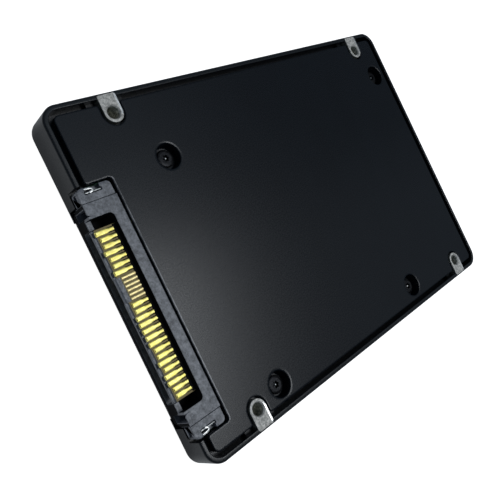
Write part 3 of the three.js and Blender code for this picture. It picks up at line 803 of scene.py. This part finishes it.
def make_pad(index, x, side):
    """A bare pad: a slab with a round inner end, a milled face with a slight burr, and an M3 thread."""
    outline = pad_outline(x, side)
    face = TOP - PAD_LIFT
    bore = threaded_bore(face)
    foot = bore[-1][1]
    edge = [
        (0, foot),
        (0, face - PAD_EDGE),
        (PAD_EDGE / 3, face - PAD_EDGE / 3),
        (PAD_EDGE, face),
        (PAD_LIP, face),
    ]
    skin = Skin()
    slab = skin.stack([(inset(outline, distance), z) for distance, z in edge])
    for ring in slab[1:-1]:
        for corner in ring:
            corner.co.z += PAD_LIFT * min(1, max(0, (corner.co.x - x) / (PAD_HALF - PAD_EDGE)))
    hole = skin.stack([(circle((x, side * HOLE_Y), radius), z) for radius, z in bore])
    skin.cap(slab[-1], hole[0])
    skin.cap(slab[0], hole[-1])
    pad = skin.place(f"mount_pad_{index}")
    soften(pad)
    dress(pad, BARE_METAL, "bare_aluminium")
    chamfer = face - HOLE_CHAMFER
    paint(pad, TAPPED_METAL, lambda _, place: place.z < chamfer)
    # Painted highlight: the lighter metal goes on the +x lip of the pad's face.
    paint(pad, PAD_LIP_HIGHLIGHT_METAL, lambda _, place: place.z >= chamfer and place.x - x > PAD_HALF - PAD_LIP)


# ---- Lid and its screws ----

def lid_outline():
    """The lid from above: a rectangle notched round the pads and the plug."""
    mouth = LID_MOUTH_CORNER
    half = PAD_HALF + LID_PAD_GAP

    def notch(x, side):
        y, deep = side * LID_HIGH.y, side * (HOLE_Y - half)
        near, far = x + side * half, x - side * half
        return [(near, y, mouth), (near, deep, half), (far, deep, half), (far, y, mouth)]

    xs = sorted({round(x, 3) for x, _ in HOLES})
    cut_x = PLUG_END + PLUG_CUT_DEPTH
    cut_low, cut_high = PLUG_Y - PLUG_CUT_HALF, PLUG_Y + PLUG_CUT_HALF
    return rounded([
        (LID_LOW.x, LID_LOW.y, LID_CORNER),
        *[corner for x in xs for corner in notch(x, -1)],
        (LID_HIGH.x, LID_LOW.y, LID_CORNER),
        (LID_HIGH.x, LID_HIGH.y, LID_CORNER),
        *[corner for x in xs[::-1] for corner in notch(x, 1)],
        (LID_LOW.x, LID_HIGH.y, LID_CORNER),
        (LID_LOW.x, cut_high, mouth),
        (cut_x, cut_high, PLUG_CUT_CORNER),
        (cut_x, cut_low, PLUG_CUT_CORNER),
        (LID_LOW.x, cut_low, mouth),
    ], steps=10)


def on_plug_cut(_, place):
    """Whether a place on the lid is on the upper edge of its cut for the plug, where a highlight is painted.
    """
    along = place.x - PLUG_END - PLUG_CUT_DEPTH
    upper = HIGHLIGHT_BAND[0] < along < HIGHLIGHT_BAND[1] and place.z > LID_HIGH.z - HIGHLIGHT_DEPTH
    return upper and abs(place.y - PLUG_Y) < PLUG_CUT_HALF


def dimple_ring(centre, radius):
    """A ring round a screw, held off the lid's side edges."""
    low, high = LID_LOW.y + DIMPLE_FROM_SIDE, LID_HIGH.y - DIMPLE_FROM_SIDE
    return [Vector((x, min(high, max(low, y)))) for x, y in circle(centre, radius, DIMPLE_POINTS)]


def make_lid():
    """One pressed sheet: a short skirt, a rounded edge, the flat, and a cup for each screw."""
    top = LID_HIGH.z
    edge = crown(LID_EDGE)
    lift = Vector((0, top - edge[-1].y))
    skirt = [Vector((0, LEDGE_Z + LID_SKIRT_LIFT)), *[point + lift for point in edge]]
    lip = crown(DIMPLE_EDGE)
    mouth = DIMPLE_LIP - lip[-1].x
    cup = [Vector((mouth + point.x, top + point.y - lip[-1].y)) for point in lip[::-1]]
    cup += rounded([
        (mouth, SCREW_SEAT_Z + DIMPLE_WALL, 0),
        (DIMPLE_FLOOR, SCREW_SEAT_Z, DIMPLE_CORNER),
        (SCREW_SHANK + SCREW_LAND, SCREW_SEAT_Z, 0),
    ], closed=False, steps=5)
    outline = lid_outline()
    skin = Skin()
    rim = skin.stack([(inset(outline, distance), z) for distance, z in skirt])
    cups = [skin.stack([(dimple_ring(centre, radius), z) for radius, z in cup]) for centre in SCREW_CENTRES]
    skin.cap(rim[-1], *[rings[0] for rings in cups])
    lid = skin.place("lid", open_sheet=True)
    sheet = lid.modifiers.new("sheet", "SOLIDIFY")
    sheet.thickness = LID_SHEET * MM
    sheet.offset = -1
    settle(lid)
    soften(lid)
    dress(lid, LID_COAT, "lid_coat", "cover_lid")
    # Painted highlight: lighter grey on the lid's top edge along the plug cut.
    paint(lid, PLUG_CUT_HIGHLIGHT, on_plug_cut)


def driver_recess(centre, grow):
    """The six-lobed outline of the driver recess."""
    lobes = 6
    points = []
    for i in range(SCREW_POINTS):
        angle = 2 * pi * i / SCREW_POINTS
        radius = RECESS + RECESS_LOBE * cos(lobes * angle) + grow
        points.append(Vector((centre[0] + radius * cos(angle), centre[1] + radius * sin(angle))))
    return points


def make_screw(node, centre):
    """A low-headed screw, with a six-lobed recess and a domed pin in it that catches the light; the pin's
    top is painted bright as a glint.
    """
    low, _ = in_mm(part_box(node))
    top = SCREW_HEAD_TOP
    shank = SCREW_SHANK - SLACK
    section = rounded([
        (SCREW_TIP, low.z, 0),
        (shank, low.z + TIP_TAPER, 0),
        (shank, SCREW_SEAT_Z, 0),
        (SCREW_HEAD, SCREW_SEAT_Z, 0.08),
        (SCREW_HEAD, SCREW_SEAT_Z + SCREW_HEAD_SIDE, 0.3),
        (SCREW_HEAD - SCREW_HEAD_SLOPE, top, 0.2),
        (RECESS + RECESS_LOBE + SCREW_LAND, top, 0),
    ], closed=False, steps=5)
    edge = RECESS_EDGE
    recess = [(edge, 0), (0, edge), (0, RECESS_DEPTH), (-RECESS_TAPER, RECESS_FLOOR)]
    skin = Skin()
    levels = [(circle(centre, radius, SCREW_POINTS), z) for radius, z in section]
    levels += [(driver_recess(centre, grow), top - depth) for grow, depth in recess]
    rings = skin.stack(levels)
    skin.cap(rings[0])
    pin = skin.stack([(circle(centre, radius, PIN_POINTS), top - depth)
                      for radius, depth in ((PIN, RECESS_FLOOR), (PIN, PIN_DEPTH), *PIN_DOME)])
    skin.cap(rings[-1], pin[0])
    skin.cap(pin[-1])
    screw = skin.place(node + "_fine")
    soften(screw)
    dress(screw, BLACK_STEEL, "screw_steel", node)
    # Painted glint: the pin's dome gets bright tin over the black steel.
    paint(screw, TIN, lambda _, place: (place.xy - centre).length < PIN and place.z > top - PIN_DEPTH)


# ---- Plug ----

def make_ear(side):
    """One ear beside the plug's body, with its slot and the ways for its board lock."""
    inner, outer = PLUG_HALF + JOINT_GAP, EAR_HALF
    corners = [(PLUG_FRONT, inner, 0), (EAR_REAR, inner, 0), (EAR_REAR, outer, EAR_CORNER),
               (PLUG_FRONT, outer, EAR_CORNER)]
    outline = rounded([(PLUG_END + u, PLUG_Y + side * v, radius) for u, v, radius in corners])
    ear = prism_piece("ear", outline, EAR_BOTTOM, PLUG_HIGH.z)
    slot = block_piece("ear_slot", plug_range(-1, 1), plug_side(*EAR_SLOT, side), EAR_SLOT_Z)
    carve(ear, [slot, *lock_ways(side)])
    round_edges(ear, PLUG_EDGE)
    return ear


def corner_cut(side):
    """A cutter that takes off the body's lower corner."""
    reach, slip = 1.4, 0.01
    across, up = PLUG_CHAMFER
    y, z = PLUG_Y + side * PLUG_HALF, PLUG_LOW.z
    wedge = [
        (y - side * across, z - slip),
        (y + side * reach, z - slip),
        (y + side * reach, z + up + reach * up / across),
        (y + side * slip, z + up),
    ]
    skin = Skin()
    ends = [[skin.mesh.verts.new((x, *corner)) for corner in wedge] for x in plug_range(-1, PLUG_REAR + 1)]
    skin.close(skin.join(ends))
    return skin.place("corner_cut")


def lock_ways(side):
    """Cutters for the slit of one board lock and the pocket round its tab."""
    low, high = in_mm(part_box("board_lock_left" if side > 0 else "board_lock_right"))
    inner = abs((low.y if side > 0 else high.y) - PLUG_Y)
    outer = inner + LOCK_STRIP
    return [
        block_piece("slit", (low.x - LOCK_GAP, high.x + LOCK_GAP),
                    plug_side(inner - LOCK_GAP, outer + LOCK_GAP, side), (0, TOP + 1)),
        block_piece("pocket", plug_range(*LOCK_POCKET), plug_side(outer, EAR_HALF + 1, side),
                    (LOCK_POCKET_FLOOR, TOP + 1)),
    ]


def guide_roof_corner(side):
    """A cutter that rounds the front inner corner of the roof over a guide slot."""
    radius, steps = GUIDE_ROOF_CORNER, 8
    u, v = PLUG_FRONT + radius, GUIDE_SLOT[0] + radius
    turns = [pi / 2 * i / steps for i in range(steps + 1)]
    arc = [(u - radius * cos(turn), v - radius * sin(turn)) for turn in turns]
    outline = [(-1, v), *arc, (u, GUIDE_SLOT[0]), (-1, GUIDE_SLOT[0])]
    places = [Vector((PLUG_END + a, PLUG_Y + side * b)) for a, b in outline]
    return prism_piece("roof_corner", without_repeats(places), GUIDE_SLOT_Z[1] - 2 * OVERLAP, TOP + 1)


def housing_hollows():
    """Cutters for the cavity, the bays under it, the guide slots and the body's lower corners.

    The bays reach up into the cavity by different amounts, so that no two cutters share a face there."""
    bay_lap, end_lap = 0.5, 0.3
    top = PLUG_HIGH.z + 1
    cavity = rectangle(*plug_range(-3, CAVITY_REAR), *plug_side(-CAVITY_HALF, CAVITY_HALF), CAVITY_CORNER)
    hollows = [
        prism_piece("cavity", cavity, BLOCK_TOP, top),
        block_piece("bay", plug_range(-1, BAY_REAR), plug_side(-BLOCK_INNER, BLOCK_INNER),
                    (CAVITY_FLOOR, BLOCK_TOP + bay_lap)),
        block_piece("bay_ends", plug_range(BLOCK_DEPTH, BAY_REAR),
                    plug_side(-CAVITY_HALF, CAVITY_HALF), (CAVITY_FLOOR, BLOCK_TOP + end_lap)),
    ]
    for side in (1, -1):
        hollows += [
            block_piece("guide", plug_range(-1, GUIDE_SLOT_REAR), plug_side(*GUIDE_SLOT, side),
                        GUIDE_SLOT_Z),
            guide_roof_corner(side),
            corner_cut(side),
        ]
    return hollows


def across_plug(name, section, v_low, v_high):
    """A solid with a (u, z) section, run across the plug between two places."""
    skin = Skin()
    ends = [[skin.mesh.verts.new((PLUG_END + u, y, z)) for u, z in section]
            for y in plug_side(v_low, v_high)]
    skin.close(skin.join(ends))
    return skin.place(name)


def tongue():
    """The tongue that carries the contacts. Its tip is stepped down, except on the key between the rows."""
    stepped = rounded([
        (TONGUE_ROOT, TONGUE_BOTTOM, 0),
        (0, TONGUE_BOTTOM, TONGUE_NOSE),
        (0, TONGUE_LEDGE - TONGUE_EDGE, TONGUE_EDGE),
        (TONGUE_STEP, TONGUE_LEDGE, TONGUE_EDGE / 2),
        (TONGUE_FACE, TONGUE_TOP, TONGUE_EDGE),
        (TONGUE_ROOT, TONGUE_TOP, 0),
    ], steps=3)
    plain = rounded([
        (TONGUE_ROOT, TONGUE_BOTTOM, 0),
        (KEY_TIP, TONGUE_BOTTOM, TONGUE_NOSE),
        (KEY_TIP, TONGUE_TOP, KEY_NOSE),
        (SIDEBAND_TIP, TONGUE_TOP, 0),
        (TONGUE_ROOT, TONGUE_TOP, 0),
    ], steps=4)
    low, high = KEY_CENTRE - KEY_HALF, KEY_CENTRE + KEY_HALF
    key = across_plug("key", plain, low, high)
    carve(key, [across_plug("power_side", stepped, -TONGUE_HALF, low + SLACK),
                across_plug("signal_side", stepped, high - SLACK, TONGUE_HALF)], "UNION")
    return key


def heel():
    """The moulding the contacts come out of, at the tongue's root."""
    foot, top = TONGUE_TOP - HEEL_FOOT, TONGUE_TOP + HEEL_RISE
    half = TONGUE_HALF - OVERLAP
    section = [(HEEL, foot), (HEEL, top), (HEEL_REAR, top), (HEEL_REAR, foot)]
    return across_plug("heel", section, -half, half)


def blade_ways():
    """Cutters in the tongue: a notch before each long blade, and a groove under each wide one's rear."""
    above = TONGUE_TOP + 1
    half = GROOVE_WIDTH / 2
    notches = [block_piece("notch", plug_range(-1, LONG_TIP),
                           plug_side(v - NOTCH_HALF, v + NOTCH_HALF),
                           (TONGUE_LEDGE - NOTCH_DEPTH, above)) for v in long_blade_places()]
    grooves = [block_piece("groove", plug_range(GROOVE_START, CAVITY_REAR),
                           plug_side(v - half, v + half), (TONGUE_TOP - GROOVE_DEPTH, above))
               for v in SIGNAL_ROW + POWER_ROW]
    return notches + grooves


def gather(piece, others):
    """Adds the meshes of other pieces to a piece, and removes the others."""
    mesh = bmesh.new()
    for part in (piece, *others):
        mesh.from_mesh(part.data)
    mesh.to_mesh(piece.data)
    mesh.free()
    for part in others:
        bpy.data.objects.remove(part)


def on_tongue_face(_, place):
    """Whether a place on the housing is on the tongue's face, between its contacts."""
    u, v = place.x - PLUG_END, place.y - PLUG_Y
    start = SIDEBAND_TIP if abs(v - KEY_CENTRE) < KEY_HALF else TONGUE_FACE
    return start < u < HEEL and abs(v) < TONGUE_HALF and abs(place.z - TONGUE_TOP) < SLACK


def in_painted_shade(face, place):
    """Whether a face of the housing gets painted shade, being where light hardly reaches: in the cavity, or
    at the foot of the front.
    """
    front, least_turn, face_depth, roof_edge = 1, 0.5, 0.05, 0.2
    if on_tongue_face(face, place):
        return False
    u, v, z = place.x - PLUG_END, place.y - PLUG_Y, place.z
    in_front = -face.normal.x > least_turn and z < TONGUE_BOTTOM and u < front
    wall = u > CAVITY_REAR - CAVITY_CORNER or abs(v) > TONGUE_HALF
    below = z < TONGUE_TOP - face_depth and u > front
    inside = BLOCK_DEPTH - SLACK < u < CAVITY_REAR + SLACK and abs(v) < CAVITY_HALF + SLACK
    return in_front or (wall or below) and inside and z < PLUG_HIGH.z - roof_edge


def make_housing():
    """The plug's moulding: the hollowed body, the tongue in it and an ear at each side."""
    body = block_piece("plug", plug_range(PLUG_FRONT, PLUG_REAR), plug_side(-PLUG_HALF, PLUG_HALF),
                       (PLUG_LOW.z, PLUG_HIGH.z))
    carve(body, housing_hollows())
    round_edges(body, PLUG_EDGE)
    leaf = tongue()
    carve(leaf, blade_ways())
    carve(leaf, [heel()], "UNION")
    gather(body, [leaf, make_ear(1), make_ear(-1)])
    soften(body)
    dress(body, PLUG_PLASTIC, "plug_plastic", "connector_housing")
    # Painted reflection: light brown on the tongue's face between the blades.
    paint(body, TONGUE_REFLECTION_PAINT, on_tongue_face)
    # Painted shade: near-black plastic in the cavity and at the foot of the front.
    paint(body, SHADE_PAINTED_PLASTIC, in_painted_shade)


def row(first, count, pitch):
    """Places from the plug's centre line, in order down from the first."""
    return [first - i * pitch for i in range(count)]


def row_start(node, width):
    """The first blade's place from the plug's centre line, from the node's edge."""
    return in_mm(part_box(node))[1].y - width / 2 - PLUG_Y


SIGNAL_ROW = row(row_start("signal_contacts", WIDE_IN_FRAME), count=7, pitch=WIDE_PITCH)
POWER_ROW = row(row_start("power_contacts", WIDE_IN_FRAME), count=15, pitch=WIDE_PITCH)
SIDEBAND_ROW = row(row_start("sideband_contacts", FINE_IN_FRAME), count=6, pitch=FINE_PITCH)
LANE_NODES = [f"lane_contacts_{i}" for i in range(1, 5)]
LANES_PER_NODE = 10


def long_blade_places():
    return [SIGNAL_ROW[i] for i in SIGNAL_LONG] + [POWER_ROW[i] for i in POWER_LONG]


def add_blade(skin, v, tip, widths, rear, zs, foot_z, up):
    """One contact: a crowned blade, a drop behind the plug and a foot on the board."""
    front, back = (width / 2 for width in widths)
    y = PLUG_Y + v
    half = [
        (tip, front, BLADE_CORNER),
        (WIDE_NARROWS, front, 0),
        (WIDE_NARROWS + WIDE_TAPER, back, 0),
        (rear, back, 0),
    ]
    if front == back:
        half = [half[0], half[-1]]
    outline = rounded([(PLUG_END + u, y - across, radius) for u, across, radius in half]
                      + [(PLUG_END + u, y + across, radius) for u, across, radius in half[::-1]], steps=3)
    near, far = zs if up else zs[::-1]
    inwards = -1 if up else 1
    levels = [(outline, near)]
    levels += [(inset(outline, share * back), far + inwards * drop) for share, drop in BLADE_CROWN]
    skin.close(skin.stack(levels))
    end = PLUG_END + rear
    skin.block((end - BLADE_THICK, end), (y - back, y + back), (foot_z[0], zs[1] - DROP_SUNK))
    skin.block((end - OVERLAP, PLUG_END + FOOT_REACH), (y - back, y + back), foot_z)


def make_contacts(node, places, tips, widths, material, up=True):
    """A row of contacts on the tongue's upper face, or on its lower one."""
    low, high = in_mm(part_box(node))
    rear = PLUG_REAR + (UPPER_DROP if up else LOWER_DROP)
    zs = (TONGUE_TOP - SLACK, high.z) if up else (high.z - BLADE_THICK, high.z)
    skin = Skin()
    for v, tip in zip(places, tips):
        add_blade(skin, v, tip, widths, rear, zs, (low.z, low.z + BLADE_THICK), up)
    contacts = skin.place(node + "_fine")
    soften(contacts)
    dress(contacts, material, "contact_gold", node)


def tips_for(places, long_ones):
    return [LONG_TIP if i in long_ones else SHORT_TIP for i in range(len(places))]


def make_all_contacts():
    wide = (WIDE_BLADE, WIDE_REAR)
    fine = (FINE_BLADE, FINE_BLADE)
    make_contacts("signal_contacts", SIGNAL_ROW, tips_for(SIGNAL_ROW, SIGNAL_LONG), wide, GOLD)
    make_contacts("power_contacts", POWER_ROW, tips_for(POWER_ROW, POWER_LONG), wide, GOLD)
    make_contacts("sideband_contacts", SIDEBAND_ROW, [SIDEBAND_TIP] * len(SIDEBAND_ROW), fine, THIN_GOLD)
    for node in LANE_NODES:
        places = row(row_start(node, FINE_IN_FRAME), LANES_PER_NODE, FINE_PITCH)
        make_contacts(node, places, [LANE_TIP] * LANES_PER_NODE, fine, THIN_GOLD, up=False)


def ribbon(path, thickness):
    """The outline of a strip of one thickness that follows a path of points."""
    points = [Vector(point) for point in path]
    sides = ([], [])
    for i, point in enumerate(points):
        way = (points[min(i + 1, len(points) - 1)] - points[max(i - 1, 0)]).normalized()
        across = Vector((-way.y, way.x)) * thickness / 2
        sides[0].append(point + across)
        sides[1].append(point - across)
    return sides[0] + sides[1][::-1]


def make_lock(node, side):
    """A tinned strip on edge in the ear, with a tab curled outwards and a leg down through the board."""
    low, high = in_mm(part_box(node))
    strip = (low.y, low.y + LOCK_STRIP) if side > 0 else (high.y - LOCK_STRIP, high.y)
    lock = block_piece(node + "_fine", (low.x, high.x), strip, (LOCK_STRIP_BOTTOM, high.z))
    tab = [Vector((PLUG_END + u, PLUG_Y + side * v)) for u, v in ribbon(LOCK_TAB_PATH, LOCK_TAB)]
    parts = [
        block_piece("leg", (high.x - LOCK_LEG[0], high.x - LOCK_LEG[1]), strip, (low.z, LOCK_LEG_TOP)),
        prism_piece("tab", tab, *LOCK_TAB_Z),
    ]
    carve(lock, parts, "UNION")
    round_edges(lock, LOCK_EDGE)
    soften(lock)
    dress(lock, TIN, "tinned_steel", node)


# ---- Inside and underneath ----

def make_label():
    low, high = in_mm(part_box("blank_label"))
    outline = rectangle(low.x, high.x, low.y, high.y, LABEL_CORNER)
    label = prism_piece("label", outline, low.z, high.z)
    round_edges(label, LABEL_EDGE)
    soften(label)
    dress(label, LABEL_FILM, "label_film", "blank_label")


def finish_inner_nodes():
    """Materials for the carried-over pieces that the closed case hides."""
    finishes = {
        "main_board": SOLDER_MASK,
        "thermal_pad": moulded("gap_filler", (0.22, 0.24, 0.28), (0.34, 0.37, 0.42), (0.7, 0.9), 0.5),
        "backup_capacitor": moulded("tantalum_case", (0.5, 0.27, 0.04), (0.62, 0.36, 0.08), (0.35, 0.5)),
        "power_choke": moulded("ferrite", (0.03, 0.03, 0.032), (0.07, 0.07, 0.072), (0.6, 0.8)),
        "chip": moulded("chip_epoxy", (0.012, 0.012, 0.013), (0.024, 0.024, 0.026), (0.4, 0.6)),
    }
    for node in frame["nodes"]:
        key = next((key for key in finishes if key in node), None)
        if key:
            part = bpy.data.objects[node]
            part.data.materials.clear()
            part.data.materials.append(finishes[key])


# ---- Studio ----

# The camera, from the photograph's viewing angle. Angles are in degrees.
LOOK_AT = Vector((-21.745, -2.16, 7.0)) * MM
CAMERA_DISTANCE = 121.7 * MM
CAMERA_AZIMUTH = -91.77
CAMERA_ELEVATION = 51.34
CAMERA_ROLL = 65.56
CAMERA_LENS = 44.38
CAMERA_SENSOR = 36
CAMERA_NEAREST = 0.005

# The floor, in metres.
FLOOR_HALF = 3.0
FLOOR_CORNER = 0.2
FLOOR_GLOW = 1.0
FLOOR_BOUNCE = 0.15

# Each light's azimuth, elevation, size, power and tint.
LIGHTS = {
    "key": (69.8, 68.2, (0.8, 0.62), 9.8, (0.93, 0.965, 1.0)),
    "low": (76, 38, (0.8, 0.5), 0.17, (0.8, 0.9, 1.0)),
    "fill": (128, 62, (0.9, 0.9), 0.75, (0.75, 0.88, 1.0)),
}
LIGHT_DISTANCE = 2.0
SKY = (0.65, 0.82, 1.0, 1)
SKY_GLOW = 0.12


def towards(azimuth, elevation):
    """The unit vector from the drive to a place above it. Azimuth 0 is at -Y, and 90 at +X."""
    a, e = radians(azimuth), radians(elevation)
    return Vector((sin(a) * cos(e), -cos(a) * cos(e), sin(e)))


def make_floor():
    """A plain pale floor that looks white, and adds only a little light of its own to the drive."""
    half = FLOOR_HALF / MM
    skin = Skin()
    skin.cap(skin.ring(rectangle(-half, half, -half, half, FLOOR_CORNER / MM), 0))
    floor = skin.place("floor", open_sheet=True)
    finish = Finish("pale_floor", Roughness=0.9)
    finish.feed("Base Color", finish.mix(finish.noise(60), (0.86, 0.86, 0.86), (0.88, 0.88, 0.88)))
    finish.shader.inputs["Emission Color"].default_value = (1, 1, 1, 1)
    seen = finish.nodes.new("ShaderNodeLightPath").outputs["Is Camera Ray"]
    finish.feed("Emission Strength", finish.spread(seen, FLOOR_BOUNCE, FLOOR_GLOW, 0, 1))
    floor.data.materials.append(finish.material)


def put(name, data, place, turn):
    """A light or a camera at a place, turned by a quaternion."""
    item = bpy.data.objects.new(name, data)
    item.location = place
    item.rotation_mode = "QUATERNION"
    item.rotation_quaternion = turn
    bpy.context.scene.collection.objects.link(item)
    return item


def add_light(name, azimuth, elevation, size, power, tint):
    light = bpy.data.lights.new(name, "AREA")
    light.shape = "RECTANGLE"
    light.size, light.size_y = size
    light.energy = power
    light.color = tint
    way = towards(azimuth, elevation)
    put(name, light, way * LIGHT_DISTANCE, way.to_track_quat("Z", "Y"))


def make_world():
    """A faint cool glow all round the drive, with plain white behind it."""
    world = bpy.data.worlds.new("studio")
    world.use_nodes = True
    nodes, links = world.node_tree.nodes, world.node_tree.links
    glow = nodes["Background"]
    glow.inputs["Color"].default_value = SKY
    glow.inputs["Strength"].default_value = SKY_GLOW
    backdrop = nodes.new("ShaderNodeBackground")
    backdrop.inputs["Color"].default_value = (1, 1, 1, 1)
    choice = nodes.new("ShaderNodeMixShader")
    links.new(nodes.new("ShaderNodeLightPath").outputs["Is Camera Ray"], choice.inputs["Fac"])
    links.new(glow.outputs["Background"], choice.inputs[1])
    links.new(backdrop.outputs["Background"], choice.inputs[2])
    links.new(choice.outputs["Shader"], nodes["World Output"].inputs["Surface"])
    bpy.context.scene.world = world


def make_studio():
    make_floor()
    make_world()
    bpy.context.scene.view_settings.view_transform = "Standard"
    for name, settings in LIGHTS.items():
        add_light(name, *settings)


def make_camera():
    data = bpy.data.cameras.new("camera")
    data.lens = CAMERA_LENS
    data.sensor_width = CAMERA_SENSOR
    data.clip_start = CAMERA_NEAREST
    way = towards(CAMERA_AZIMUTH, CAMERA_ELEVATION)
    roll = Matrix.Rotation(radians(CAMERA_ROLL), 4, "Z").to_quaternion()
    turn = (-way).to_track_quat("-Z", "Y") @ roll
    bpy.context.scene.camera = put("camera", data, LOOK_AT + way * CAMERA_DISTANCE, turn)


make_case()
for number, (hole_x, hole_side) in enumerate(HOLES, start=1):
    make_pad(number, hole_x, hole_side)
make_lid()
for screw_node, screw_centre in zip(SCREW_NODES, SCREW_CENTRES):
    make_screw(screw_node, screw_centre)
make_housing()
make_all_contacts()
make_lock("board_lock_left", 1)
make_lock("board_lock_right", -1)
make_label()
finish_inner_nodes()
make_studio()
make_camera()
